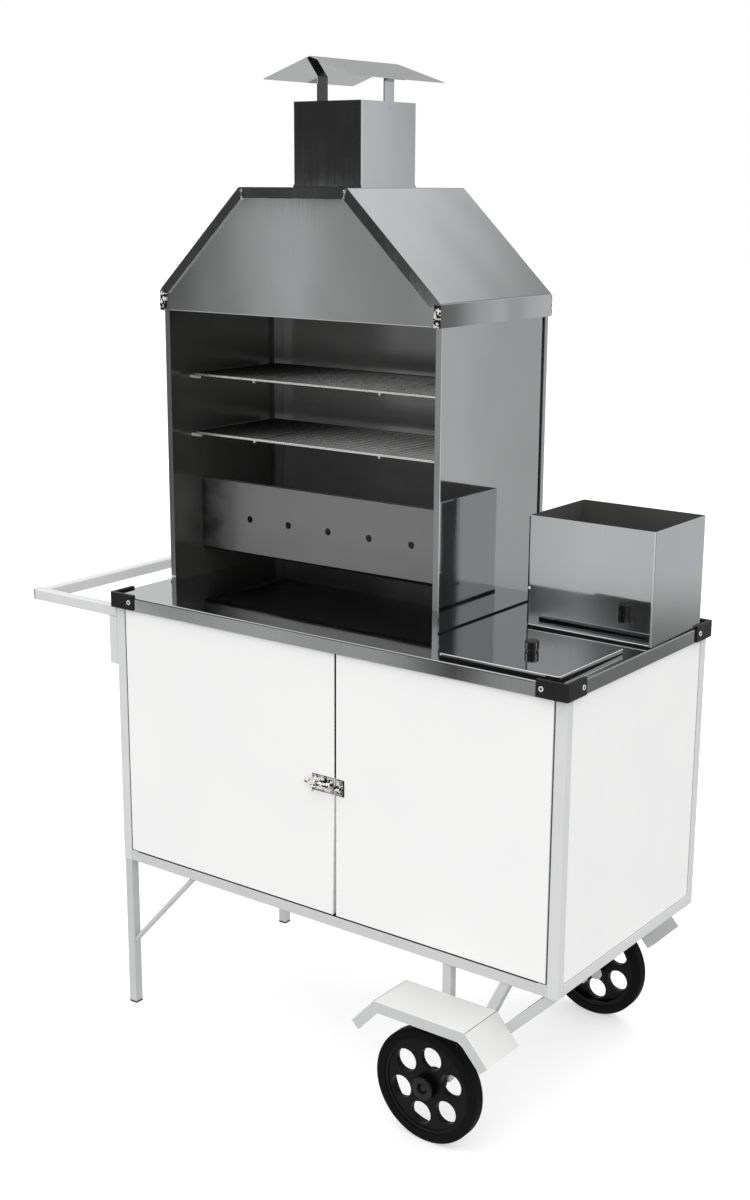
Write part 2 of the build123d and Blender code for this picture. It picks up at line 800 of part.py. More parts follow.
# Latch plate with two guides for the bolt, on the left door
plate_right = left_free - latch_edge
plate_left = plate_right - latch_w
bolt_y = front_y - latch_t - bolt_lift - bolt_d / 2
guide_r = bolt_d / 2 + bolt_clear + guide_wall
guide_base = front_y - latch_t - bolt_y
guide_left = plate_left + guide_in
guide_right = plate_right - guide_in - guide_w
with BuildPart() as latch_plate:
    with BuildSketch(door_plane):
        with Locations(((plate_left + plate_right) / 2, latch_z)):
            RectangleRounded(latch_w, latch_h, guide_in)
    extrude(amount=latch_t)
    for guide_x in (guide_left, guide_right):
        with BuildSketch(Plane.YZ.offset(guide_x)):
            with Locations((bolt_y, latch_z)):
                Circle(guide_r)
            with Locations((bolt_y + guide_base / 2, latch_z)):
                Rectangle(guide_base, 2 * guide_r)
            with Locations((bolt_y, latch_z)):
                Circle(bolt_d / 2 + bolt_clear, mode=Mode.SUBTRACT)
            with Locations((front_y - latch_t + guide_r, latch_z)):
                Rectangle(2 * guide_r, 4 * guide_r, mode=Mode.SUBTRACT)
        extrude(amount=guide_w)
latch_plate.part.label = "latch_plate"
export_step(latch_plate.part, "parts/latch_plate.step")

# Latch bolt, drawn back, with its thumb knob between the guides
bolt_tip = plate_right
thumb_x = guide_left + guide_w + thumb_gap + thumb_d / 2
with BuildPart() as latch_bolt:
    with BuildSketch(Plane.YZ.offset(bolt_tip)):
        with Locations((bolt_y, latch_z)):
            Circle(bolt_d / 2)
    extrude(amount=-bolt_len)
    with BuildSketch(Plane.XZ.offset(-bolt_y)):
        with Locations((thumb_x, latch_z)):
            Circle(thumb_d / 2 - thumb_slim)
    extrude(amount=thumb_h, taper=-thumb_flare)
    fillet(latch_bolt.edges().group_by(Axis.Y)[0], thumb_slim)
latch_bolt.part.label = "latch_bolt"
export_step(latch_bolt.part, "parts/latch_bolt.step")

# Latch keeper on the right door
keeper_left = right_free + keeper_edge
with BuildPart() as latch_keeper:
    with BuildSketch(door_plane):
        with Locations((keeper_left + keeper_w / 2, latch_z)):
            RectangleRounded(keeper_w, latch_h, guide_in)
    extrude(amount=latch_t)
    with BuildSketch(Plane.YZ.offset(keeper_left + guide_in)):
        with Locations((bolt_y, latch_z)):
            Circle(guide_r)
        with Locations((bolt_y + guide_base / 2, latch_z)):
            Rectangle(guide_base, 2 * guide_r)
        with Locations((bolt_y, latch_z)):
            Circle(bolt_d / 2 + bolt_clear, mode=Mode.SUBTRACT)
        with Locations((front_y - latch_t + guide_r, latch_z)):
            Rectangle(2 * guide_r, 4 * guide_r, mode=Mode.SUBTRACT)
    extrude(amount=keeper_w - 2 * guide_in)
latch_keeper.part.label = "latch_keeper"
export_step(latch_keeper.part, "parts/latch_keeper.step")

# Latch screws in the corners of the plate, and two in the keeper
screw_rise = latch_h / 2 - latch_screw_in
with BuildPart() as latch_screws:
    with BuildSketch(door_plane.offset(latch_t)):
        with Locations(((plate_left + plate_right) / 2, latch_z)):
            with GridLocations(latch_w - 2 * latch_screw_in, 2 * screw_rise, 2, 2):
                Circle(latch_screw_d / 2)
    extrude(amount=latch_screw_h, taper=screw_taper)
latch_screws.part.label = "latch_screws"
export_step(latch_screws.part, "parts/latch_screws.step")

with BuildPart() as keeper_screws:
    with BuildSketch(door_plane.offset(latch_t)):
        with Locations((keeper_left + keeper_w / 2, latch_z)):
            with GridLocations(0, 2 * screw_rise, 1, 2):
                Circle(latch_screw_d / 2)
    extrude(amount=latch_screw_h, taper=screw_taper)
keeper_screws.part.label = "keeper_screws"
export_step(keeper_screws.part, "parts/keeper_screws.step")

# Oven side walls: a front flange turned in, and a short return at the rear seam
oven_x = left_x + oven_in + oven_w / 2
oven_mid = Plane.YZ.offset(oven_x)
oven_right = oven_x + oven_w / 2
oven_back_y = cab_d / 2 - oven_rear
oven_front_y = oven_back_y - oven_d
wall_end = oven_back_y - groove_back
wall_h = oven_h + wall_lap
with BuildPart() as oven_wall_right:
    with BuildSketch(Plane.XY.offset(top_z)):
        with BuildLine():
            Polyline(
                (oven_right - flange, oven_front_y),
                (oven_right, oven_front_y),
                (oven_right, wall_end),
                (oven_right - groove_deep, wall_end),
                (oven_right - groove_deep, wall_end - sheet),
                (oven_right - sheet, wall_end - sheet),
                (oven_right - sheet, oven_front_y + sheet),
                (oven_right - flange, oven_front_y + sheet),
                close=True,
            )
        make_face()
    extrude(amount=wall_h)
    outer_folds = oven_wall_right.edges().filter_by(Axis.Z).group_by(Axis.X)[-1]
    fillet(outer_folds, sheet)
oven_wall_right.part.label = "oven_wall_right"
export_step(oven_wall_right.part, "parts/oven_wall_right.step")

with BuildPart() as oven_wall_left:
    mirror(oven_wall_right.part, about=oven_mid)
oven_wall_left.part.label = "oven_wall_left"
export_step(oven_wall_left.part, "parts/oven_wall_left.step")

# Oven back: a sheet with outer edge strips, and flanges turned forward inside the walls
seam_x = oven_right - groove_deep
strip_y = wall_end + groove_w
with BuildPart() as oven_back:
    with BuildSketch(Plane.XY.offset(top_z)):
        with BuildLine():
            Polyline(
                (oven_x, oven_back_y),
                (oven_right, oven_back_y),
                (oven_right, strip_y),
                (oven_right - sheet, strip_y),
                (oven_right - sheet, oven_back_y - sheet),
                (seam_x, oven_back_y - sheet),
                (seam_x, oven_back_y - back_flange),
                (seam_x - sheet, oven_back_y - back_flange),
                (seam_x - sheet, oven_back_y - sheet),
                (oven_x, oven_back_y - sheet),
                close=True,
            )
        make_face()
        mirror(about=oven_mid)
    extrude(amount=wall_h)
oven_back.part.label = "oven_back"
export_step(oven_back.part, "parts/oven_back.step")

# Firebox front: a folded sheet between the walls, with a row of air holes
fire_front = oven_front_y + fire_set
fire_z = top_z + fire_lift
fire_w = oven_w - 2 * sheet
with BuildPart() as firebox_front:
    with BuildSketch(oven_mid):
        with BuildLine():
            Polyline(
                (fire_front + fire_fold, fire_z),
                (fire_front, fire_z),
                (fire_front, fire_z + fire_h),
                (fire_front + fire_fold, fire_z + fire_h),
                (fire_front + fire_fold, fire_z + fire_h - sheet),
                (fire_front + sheet, fire_z + fire_h - sheet),
                (fire_front + sheet, fire_z + sheet),
                (fire_front + fire_fold, fire_z + sheet),
                close=True,
            )
        make_face()
    extrude(amount=fire_w / 2, both=True)
    with BuildSketch(Plane.XZ.offset(-fire_front)):
        with Locations((oven_x, fire_z + fire_h / 2)):
            with GridLocations(air_pitch, 0, air_count, 1):
                Circle(air_d / 2)
    extrude(amount=-2 * sheet, mode=Mode.SUBTRACT)
firebox_front.part.label = "firebox_front"
export_step(firebox_front.part, "parts/firebox_front.step")

# Firebox floor: a plain sheet from the front fold to the oven back
floor_front = fire_front + fire_fold
floor_d = oven_back_y - sheet - floor_front
floor_w = oven_w - 2 * groove_deep - 2 * sheet
with BuildPart() as firebox_floor:
    with BuildSketch(Plane.XY.offset(fire_z)):
        with Locations((oven_x, floor_front + floor_d / 2)):
            Rectangle(floor_w, floor_d)
    extrude(amount=sheet)
firebox_floor.part.label = "firebox_floor"
export_step(firebox_floor.part, "parts/firebox_floor.step")

# Grate pegs: four studs under each grate, on the oven walls
grate_w = oven_w - 2 * sheet - 2 * grate_side
grate_d = oven_d - grate_set - grate_back
grate_low = top_z + grate_rise
grate_high = grate_low + grate_step
grate_mid_y = oven_front_y + grate_set + grate_d / 2
peg_len = grate_side + peg_hold
peg_span = grate_d - 2 * peg_in
peg_drop = rod_d / 2 + rest_gap + peg_d / 2
with BuildPart() as grate_pegs:
    for grate_z in (grate_high, grate_low):
        with BuildSketch(Plane.YZ.offset(oven_right - sheet)):
            with Locations((grate_mid_y, grate_z - peg_drop)):
                with GridLocations(peg_span, 0, 2, 1):
                    Circle(peg_d / 2)
        extrude(amount=-peg_len)
    mirror(about=oven_mid)
grate_pegs.part.label = "grate_pegs"
export_step(grate_pegs.part, "parts/grate_pegs.step")

# Grates: a frame of bent rod, wires along it and two ribs under the wires
grate_inner_w = grate_w - rod_d
grate_inner_d = grate_d - rod_d
wire_pitch = grate_inner_d / (wire_count + 1)
rib_z = grate_high - wire_d / 2 - rod_d / 2 + weld
with BuildSketch(Plane.XY.offset(grate_high)) as rod_line:
    with Locations((oven_x, grate_mid_y)):
        RectangleRounded(grate_inner_w, grate_inner_d, rod_bend)
with BuildPart() as grate_upper:
    with BuildSketch(oven_mid):
        with Locations((grate_mid_y - grate_inner_d / 2, grate_high)):
            Circle(rod_d / 2)
    sweep(path=rod_line.wires()[0])
    with BuildSketch(oven_mid):
        with Locations((grate_mid_y, grate_high)):
            with GridLocations(wire_pitch, 0, wire_count, 1):
                Circle(wire_d / 2)
    extrude(amount=grate_inner_w / 2, both=True)
    with BuildSketch(Plane.XZ.offset(-grate_mid_y)):
        with Locations((oven_x, rib_z)):
            with GridLocations(2 * rib_off, 0, 2, 1):
                Circle(rod_d / 2)
    extrude(amount=grate_d / 2, both=True)
grate_upper.part.label = "grate_upper"
export_step(grate_upper.part, "parts/grate_upper.step")

with BuildPart() as grate_lower:
    with Locations((0, 0, grate_low - grate_high)):
        add(grate_upper.part)
grate_lower.part.label = "grate_lower"
export_step(grate_lower.part, "parts/grate_lower.step")

# Hood wrap: skirts, slopes and top in one bent sheet, with a folded rim at the front and the back
hood_w = oven_w + 2 * sheet
hood_d = oven_d + 2 * hood_over
hood_front_y = oven_front_y - hood_over
hood_mid_y = hood_front_y + hood_d / 2
hood_z = top_z + oven_h
skirt_top = hood_z + skirt_h
hood_top = hood_z + hood_h
flue_x = oven_x + flue_off
flue_top = hood_top + flue_h
hood_face = Plane.XZ.offset(-hood_front_y)
with BuildSketch(hood_face) as hood_outline:
    with BuildLine():
        Polyline(
            (oven_x - hood_w / 2, hood_z),
            (oven_x - hood_w / 2, skirt_top),
            (oven_x - hood_top_w / 2, hood_top),
            (oven_x + hood_top_w / 2, hood_top),
            (oven_x + hood_w / 2, skirt_top),
            (oven_x + hood_w / 2, hood_z),
            close=True,
        )
    make_face()
    fillet(hood_outline.vertices().group_by(Axis.Y)[1:], hood_bend)
with BuildSketch(hood_face) as hood_inside:
    add(hood_outline.sketch_local)
    offset(amount=-sheet, mode=Mode.REPLACE)
with BuildSketch(hood_face) as hood_window:
    add(hood_outline.sketch_local)
    offset(amount=-rim_w, mode=Mode.REPLACE)
with BuildPart() as hood_wrap:
    with BuildSketch(hood_face):
        add(hood_outline.sketch_local)
        add(hood_inside.sketch_local, mode=Mode.SUBTRACT)
        with Locations((oven_x, hood_z)):
            Rectangle(hood_w - 2 * sheet, skirt_h, mode=Mode.SUBTRACT)
    extrude(amount=-hood_d)
    for rim_plane in (hood_face, hood_face.offset(sheet - hood_d)):
        with BuildSketch(rim_plane):
            add(hood_outline.sketch_local)
            add(hood_window.sketch_local, mode=Mode.SUBTRACT)
            with Locations((oven_x, hood_z)):
                Rectangle(hood_w - 2 * rim_w, 2 * rim_w, mode=Mode.SUBTRACT)
            with Locations((oven_x, skirt_top)):
                Rectangle(hood_w, rim_notch, mode=Mode.SUBTRACT)
        extrude(amount=-sheet)
    with BuildSketch(Plane.XY.offset(hood_top)):
        with Locations((flue_x, hood_mid_y)):
            RectangleRounded(flue_w, flue_d, flue_round)
    extrude(amount=-2 * sheet, mode=Mode.SUBTRACT)
hood_wrap.part.label = "hood_wrap"
export_step(hood_wrap.part, "parts/hood_wrap.step")

# Hood front and back: flat sheets inside the wrap, behind its rims
with BuildPart() as hood_front:
    with BuildSketch(hood_face.offset(-sheet)):
        add(hood_inside.sketch_local)
    extrude(amount=-sheet)
hood_front.part.label = "hood_front"
export_step(hood_front.part, "parts/hood_front.step")

with BuildPart() as hood_back:
    with BuildSketch(hood_face.offset(sheet - hood_d)):
        add(hood_inside.sketch_local)
    extrude(amount=sheet)
hood_back.part.label = "hood_back"
export_step(hood_back.part, "parts/hood_back.step")

# Chimney: a square duct through the hood's top
with BuildPart() as chimney:
    with BuildSketch(Plane.XY.offset(hood_top - flue_dip)):
        with Locations((flue_x, hood_mid_y)):
            RectangleRounded(flue_w, flue_d, flue_round)
            RectangleRounded(flue_w - 2 * sheet, flue_d - 2 * sheet, flue_round - sheet, mode=Mode.SUBTRACT)
    extrude(amount=flue_top - hood_top + flue_dip)
chimney.part.label = "chimney"
export_step(chimney.part, "parts/chimney.step")

# Chimney cap: a sheet folded to a low gable
cap_slope = math.atan2(cap_rise, cap_w / 2)
cap_ridge = flue_top + cap_lift
cap_eave = cap_ridge - cap_rise
cap_drop = sheet / math.cos(cap_slope)
cap_end = Plane.XZ.offset(-hood_mid_y)
with BuildPart() as chimney_cap:
    with BuildSketch(cap_end):
        with BuildLine():
            Polyline(
                (flue_x - cap_w / 2, cap_eave),
                (flue_x, cap_ridge),
                (flue_x + cap_w / 2, cap_eave),
                (flue_x + cap_w / 2, cap_eave - cap_drop),
                (flue_x, cap_ridge - cap_drop),
                (flue_x - cap_w / 2, cap_eave - cap_drop),
                close=True,
            )
        make_face()
    extrude(amount=cap_l / 2, both=True)
chimney_cap.part.label = "chimney_cap"
export_step(chimney_cap.part, "parts/chimney_cap.step")

# Cap straps: a flat bar inside each side of the chimney, its top bent out under the cap
strap_x = flue_x + flue_w / 2 - sheet - strap_t
strap_top = cap_ridge - cap_drop - (strap_x - flue_x) * math.tan(cap_slope)
tab_run = strap_tab * math.cos(cap_slope)
tab_fall = strap_tab * math.sin(cap_slope)
with BuildPart() as cap_straps:
    with BuildSketch(cap_end):
        with BuildLine():
            Polyline(
                (strap_x, flue_top - strap_lap),
                (strap_x, strap_top),
                (strap_x + tab_run, strap_top - tab_fall),
            )
            offset(amount=strap_t, side=Side.RIGHT)
        make_face()
    extrude(amount=strap_w / 2, both=True)
    mirror(about=Plane.YZ.offset(flue_x))
cap_straps.part.label = "cap_straps"
export_step(cap_straps.part, "parts/cap_straps.step")

# Rivets: along both rear seams of the oven, through the straps and at the corners of the hood's rim
rim_corner_x = oven_x + hood_top_w / 2 - rivet_edge
rim_side_x = oven_x + hood_w / 2 - rim_w / 2
with BuildPart() as rivets:
    with BuildSketch(Plane.YZ.offset(seam_x)):
        for row in range(rivet_rows):
            with Locations((wall_end + groove_w / 2, top_z + rivet_first + row * rivet_pitch)):
                Circle(rivet_d / 2)
    extrude(amount=rivet_h, taper=screw_taper)
    with BuildSketch(hood_face):
        with Locations((rim_corner_x, hood_top - rivet_edge), (rim_corner_x, hood_top - 3 * rivet_edge)):
            Circle(rivet_d / 2)
        with Locations((rim_side_x, skirt_top - 2 * rivet_edge), (rim_side_x, hood_z + rivet_edge)):
            Circle(rivet_d / 2)
    extrude(amount=rivet_h, taper=screw_taper)
    mirror(about=oven_mid)
    with BuildSketch(Plane.YZ.offset(flue_x + flue_w / 2)):
        with Locations((hood_mid_y, flue_top - rivet_strap)):
            Circle(rivet_d / 2)
    extrude(amount=rivet_h, taper=screw_taper)
    with BuildSketch(Plane.YZ.offset(flue_x - flue_w / 2)):
        with Locations((hood_mid_y, flue_top - rivet_strap)):
            Circle(rivet_d / 2)
    extrude(amount=-rivet_h, taper=screw_taper)
rivets.part.label = "rivets"
export_step(rivets.part, "parts/rivets.step")

# Bin: an open box with a folded hem round its foot
bin_z = top_z + rest_gap
with BuildPart() as bin_box:
    with BuildSketch(Plane.XY.offset(bin_z)):
        with Locations((bin_x, bin_mid_y)):
            RectangleRounded(bin_w, bin_d, bin_round)
    extrude(amount=bin_h)
    with BuildSketch(Plane.XY.offset(bin_z)):
        with Locations((bin_x, bin_mid_y)):
            RectangleRounded(bin_w + 2 * hem_out, bin_d + 2 * hem_out, bin_round + hem_out)
    extrude(amount=hem_h)
    with BuildSketch(Plane.XY.offset(bin_z + sheet)):
        with Locations((bin_x, bin_mid_y)):
            RectangleRounded(bin_w - 2 * sheet, bin_d - 2 * sheet, bin_round - sheet)
    extrude(amount=bin_h, mode=Mode.SUBTRACT)
bin_box.part.label = "bin_box"
export_step(bin_box.part, "parts/bin_box.step")

# Lid: a shallow folded cover over the well
lid_mid_y = front_y + lid_y + lid_d / 2
lid_z = top_z + rest_gap
with BuildPart() as lid:
    with BuildSketch(Plane.XY.offset(lid_z)):
        with Locations((lid_x, lid_mid_y)):
            RectangleRounded(lid_w, lid_d, lid_round)
    extrude(amount=lid_h)
    fillet(lid.edges().group_by(Axis.Z)[-1], sheet)
    with BuildSketch(Plane.XY.offset(lid_z)):
        with Locations((lid_x, lid_mid_y)):
            RectangleRounded(lid_w - 2 * sheet, lid_d - 2 * sheet, lid_round - sheet)
    extrude(amount=lid_h - sheet, mode=Mode.SUBTRACT)
lid.part.label = "lid"
export_step(lid.part, "parts/lid.step")

# Lid knob: a turned knob with a narrower foot
knob_plane = Plane(origin=(lid_x, lid_mid_y, lid_z + lid_h), x_dir=(1, 0, 0), z_dir=(0, -1, 0))
with BuildPart() as lid_knob:
    with BuildSketch(knob_plane) as knob_section:
        with BuildLine():
            Polyline(
                (0, 0),
                (knob_neck / 2, 0),
                (knob_neck / 2, knob_foot),
                (knob_d / 2, 2 * knob_foot),
                (knob_d / 2, knob_h),
                (0, knob_h),
                close=True,
            )
        make_face()
        fillet(knob_section.vertices().group_by(Axis.X)[-1], knob_round)
    revolve(axis=Axis((lid_x, lid_mid_y, 0), (0, 0, 1)))
lid_knob.part.label = "lid_knob"
export_step(lid_knob.part, "parts/lid_knob.step")
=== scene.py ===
import json
import math

import bmesh
import bpy
from mathutils import Matrix, Vector, noise


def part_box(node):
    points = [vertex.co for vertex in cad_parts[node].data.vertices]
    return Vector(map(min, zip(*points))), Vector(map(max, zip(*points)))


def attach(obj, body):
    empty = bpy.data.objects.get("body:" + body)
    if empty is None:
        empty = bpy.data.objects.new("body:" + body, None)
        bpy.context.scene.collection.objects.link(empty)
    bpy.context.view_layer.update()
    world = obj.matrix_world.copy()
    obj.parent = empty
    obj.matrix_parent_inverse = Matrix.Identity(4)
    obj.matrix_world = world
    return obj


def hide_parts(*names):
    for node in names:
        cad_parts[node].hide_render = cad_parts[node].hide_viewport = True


# A barbecue cart in a white studio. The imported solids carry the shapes; this scene gives them their
# finishes and adds the fasteners, welds and hems that are too fine for the solids.
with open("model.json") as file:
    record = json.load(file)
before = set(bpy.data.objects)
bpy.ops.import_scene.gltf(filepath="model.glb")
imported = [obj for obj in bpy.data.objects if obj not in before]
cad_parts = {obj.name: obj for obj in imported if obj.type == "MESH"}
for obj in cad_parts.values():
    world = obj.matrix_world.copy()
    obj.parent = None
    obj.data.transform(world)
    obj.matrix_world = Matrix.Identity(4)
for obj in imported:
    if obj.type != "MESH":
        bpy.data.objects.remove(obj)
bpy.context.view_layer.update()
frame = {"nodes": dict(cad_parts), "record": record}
nodes = frame["nodes"]

# The camera stands where the photograph was taken from: metres, degrees and the lens in millimetres.
CAMERA_PLACE = (1.77925, -2.3313, 1.545)
CAMERA_YAW = 36.636
CAMERA_PITCH = 14.034
CAMERA_ROLL = 0.315
CAMERA_LENS = 50.21
SENSOR_W = 36.0

# Where a finish changes over its piece, in metres
BOW_CENTRE = 0.1
SHADOW_LINE = (0.002, 0.006)
SHADE_FADE = (0.075, 0.15)
SHADE_DRIFT = 0.16
FRONT_WIRE = 0.006
GRATE_SHADE = 0.42
HUB_RIM = (0.018, 0.021)

# How squarely a lip faces the front, how sharply patches of plate end, how much smoke dulls, and the tint of
# steel
LIP_FACING = 0.9
PATCH_EDGE = 0.05
SMOKE_DULL = 0.12
POLISHED = "cfd0d1"


def linear(hex_colour):
    """An sRGB hex colour as linear red, green, blue and alpha."""
    parts = [int(hex_colour[i:i + 2], 16) / 255 for i in (0, 2, 4)]
    return [c / 12.92 if c <= 0.04045 else ((c + 0.055) / 1.055) ** 2.4 for c in parts] + [1.0]


def per_metre(size_mm):
    """The texture scale at which one feature of a pattern is this many millimetres across."""
    return 1000.0 / size_mm


def middle_of(node):
    """The middle of a node's box."""
    low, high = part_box(node)
    return [0.5 * (a + b) for a, b in zip(low, high)]


def link(tree, node, links):
    """Link sources into the sockets of a node. A node as a source gives its first output."""
    for socket, source in links.items():
        if isinstance(source, bpy.types.Node):
            source = source.outputs[0]
        tree.links.new(source, node.inputs[socket])


def add(tree, kind, values=None, links=None, **settings):
    """Add a node with its settings, its socket values and the links into it."""
    node = tree.nodes.new(kind)
    for name, value in settings.items():
        setattr(node, name, value)
    for socket, value in (values or {}).items():
        node.inputs[socket].default_value = value
    link(tree, node, links or {})
    return node


def new_finish(name, values):
    """A new material with its tree, its shader at these values, and the piece's own coordinates."""
    material = bpy.data.materials.new(name)
    material.use_nodes = True
    tree = material.node_tree
    shader = tree.nodes["Principled BSDF"]
    for socket, value in values.items():
        shader.inputs[socket].default_value = value
    return material, tree, shader, add(tree, "ShaderNodeTexCoord").outputs["Object"]


def mottled(name, values, tints, shine, cloud, relief=None, grain=None):
    """A new finish whose tint and roughness follow a cloud, with a relief that follows a grain or the cloud.

    Cloud, relief and grain are values by socket. The socket of the tint comes last in what is given back.
    """
    material, tree, shader, place = new_finish(name, values)
    tint = None
    pattern = add(tree, "ShaderNodeTexNoise", cloud, {"Vector": place})
    if tints:
        tint = add(tree, "ShaderNodeMix", {6: linear(tints[0]), 7: linear(tints[1])}, {0: pattern},
                   data_type="RGBA").outputs[2]
        link(tree, shader, {"Base Color": tint})
    gloss = add(tree, "ShaderNodeMapRange", {"To Min": shine[0], "To Max": shine[1]}, {"Value": pattern})
    link(tree, shader, {"Roughness": gloss})
    if grain:
        pattern = add(tree, "ShaderNodeTexNoise", grain, {"Vector": place})
    if relief:
        link(tree, shader, {"Normal": add(tree, "ShaderNodeBump", relief, {"Height": pattern})})
    return material, tree, shader, place, tint


# Finishes
def powder_coat(name, dark, pale, lip=""):
    # Powder-coated steel: baked satin white, whose fine orange peel softens each highlight. A lip that faces
    # the front can get its own tint: painted shade where it is greyer, painted light where it is paler.
    material, tree, shader, _, tint = mottled(
        name, {"IOR": 1.5}, (dark, pale), (0.3, 0.42), {"Scale": per_metre(90), "Detail": 3.0},
        {"Strength": 0.35, "Distance": 0.0001}, {"Scale": per_metre(2.5), "Detail": 2.0})
    # Faces that look to the front take the lip's tint, as painted light and shade
    if lip:
        facing = add(tree, "ShaderNodeTexCoord").outputs["Normal"]
        turned = add(tree, "ShaderNodeVectorMath", {1: (0.0, -1.0, 0.0)}, {0: facing},
                     operation="DOT_PRODUCT").outputs["Value"]
        front = add(tree, "ShaderNodeMath", {1: LIP_FACING}, {0: turned}, operation="GREATER_THAN")
        coat = add(tree, "ShaderNodeMix", {7: linear(lip)}, {0: front, 6: tint}, data_type="RGBA")
        link(tree, shader, {"Base Color": coat.outputs[2]})
    return material


def gloss_enamel():
    # Enamelled sheet: near-white gloss with a fine orange peel.
    return mottled("white_enamelled_sheet", {"IOR": 1.52}, ("f1f1f1", "f7f7f6"), (0.3, 0.36),
                   {"Scale": per_metre(200), "Detail": 3.0}, {"Strength": 0.25, "Distance": 0.0001},
                   {"Scale": per_metre(3), "Detail": 2.0})[0]


def mirror_steel(name, smoked=(), smoke_tints=("4e4d4c", "6c6b6a"), bow=0.0, dull=0.0):
    # Mirror-polished stainless sheet: sharp reflections that drift where the thin sheet isn't flat,
    # under a faint haze of upright polishing lines. Real lines are 0.1 mm; these are 2 mm, to show.
    # A bowed strip has sprung from its fold along Y, so its shine runs from dark to bright.
    material, tree, shader, place = new_finish(name, {"Base Color": linear(POLISHED), "Metallic": 1.0})
    upright = add(tree, "ShaderNodeMapping", {"Scale": (1.0, 1.0, 0.015)}, {"Vector": place})
    lines = add(tree, "ShaderNodeTexNoise", {"Scale": per_metre(2), "Detail": 3.0}, {"Vector": upright})
    wipes = add(tree, "ShaderNodeTexNoise", {"Scale": per_metre(140), "Detail": 4.0}, {"Vector": place})
    haze = add(tree, "ShaderNodeMath", {}, {0: lines, 1: wipes}, operation="MULTIPLY")
    gloss = add(tree, "ShaderNodeMapRange", {"From Min": 0.1, "From Max": 0.45, "To Min": dull + 0.03,
                                             "To Max": dull + 0.1}, {"Value": haze})
    wave = add(tree, "ShaderNodeTexNoise", {"Scale": per_metre(240), "Detail": 1.0}, {"Vector": place})
    bump = add(tree, "ShaderNodeBump", {"Strength": 1.0, "Distance": 0.0012}, {"Height": wave})
    link(tree, shader, {"Roughness": gloss, "Normal": bump})
    if bow:
        span = add(tree, "ShaderNodeSeparateXYZ", {}, {0: place})
        along = add(tree, "ShaderNodeMath", {1: BOW_CENTRE}, {0: span.outputs["Y"]}, operation="SUBTRACT")
        arch = add(tree, "ShaderNodeMath", {}, {0: along, 1: along}, operation="MULTIPLY")
        rise = add(tree, "ShaderNodeMath", {1: -bow}, {0: arch}, operation="MULTIPLY")
        sprung = add(tree, "ShaderNodeBump", {"Strength": 1.0, "Distance": 1.0}, {"Height": rise})
        link(tree, bump, {"Normal": sprung})
    if smoked:
        smoke_inside(tree, shader, place, smoked, smoke_tints, wipes, gloss)
    return material


def smoke_inside(tree, shader, place, smoked, smoke_tints, wipes, gloss):
    # Smoke on polished steel: the faces towards the middle of the smoked nodes are browned and dulled to a
    # dark mirror.
    lows, highs = zip(*(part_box(node) for node in smoked))
    middle = [0.5 * (min(low) + max(high)) for low, high in zip(zip(*lows), zip(*highs))]
    out = add(tree, "ShaderNodeVectorMath", {1: middle}, {0: place}, operation="SUBTRACT")
    facing = add(tree, "ShaderNodeTexCoord").outputs["Normal"]
    turned = add(tree, "ShaderNodeVectorMath", {}, {0: out, 1: facing}, operation="DOT_PRODUCT")
    inside = add(tree, "ShaderNodeMath", {1: 0.0}, {0: turned.outputs["Value"]}, operation="LESS_THAN")
    smoke = add(tree, "ShaderNodeMix", {6: linear(smoke_tints[0]), 7: linear(smoke_tints[1])}, {0: wipes},
                data_type="RGBA")
    tint = add(tree, "ShaderNodeMix", {6: linear(POLISHED)}, {0: inside, 7: smoke.outputs[2]},
               data_type="RGBA")
    metal = add(tree, "ShaderNodeMapRange", {"To Min": 1.0, "To Max": 0.6}, {"Value": inside})
    dulled = add(tree, "ShaderNodeMath", {0: SMOKE_DULL}, {1: inside, 2: gloss}, operation="MULTIPLY_ADD")
    link(tree, shader, {"Base Color": tint.outputs[2], "Metallic": metal, "Roughness": dulled})


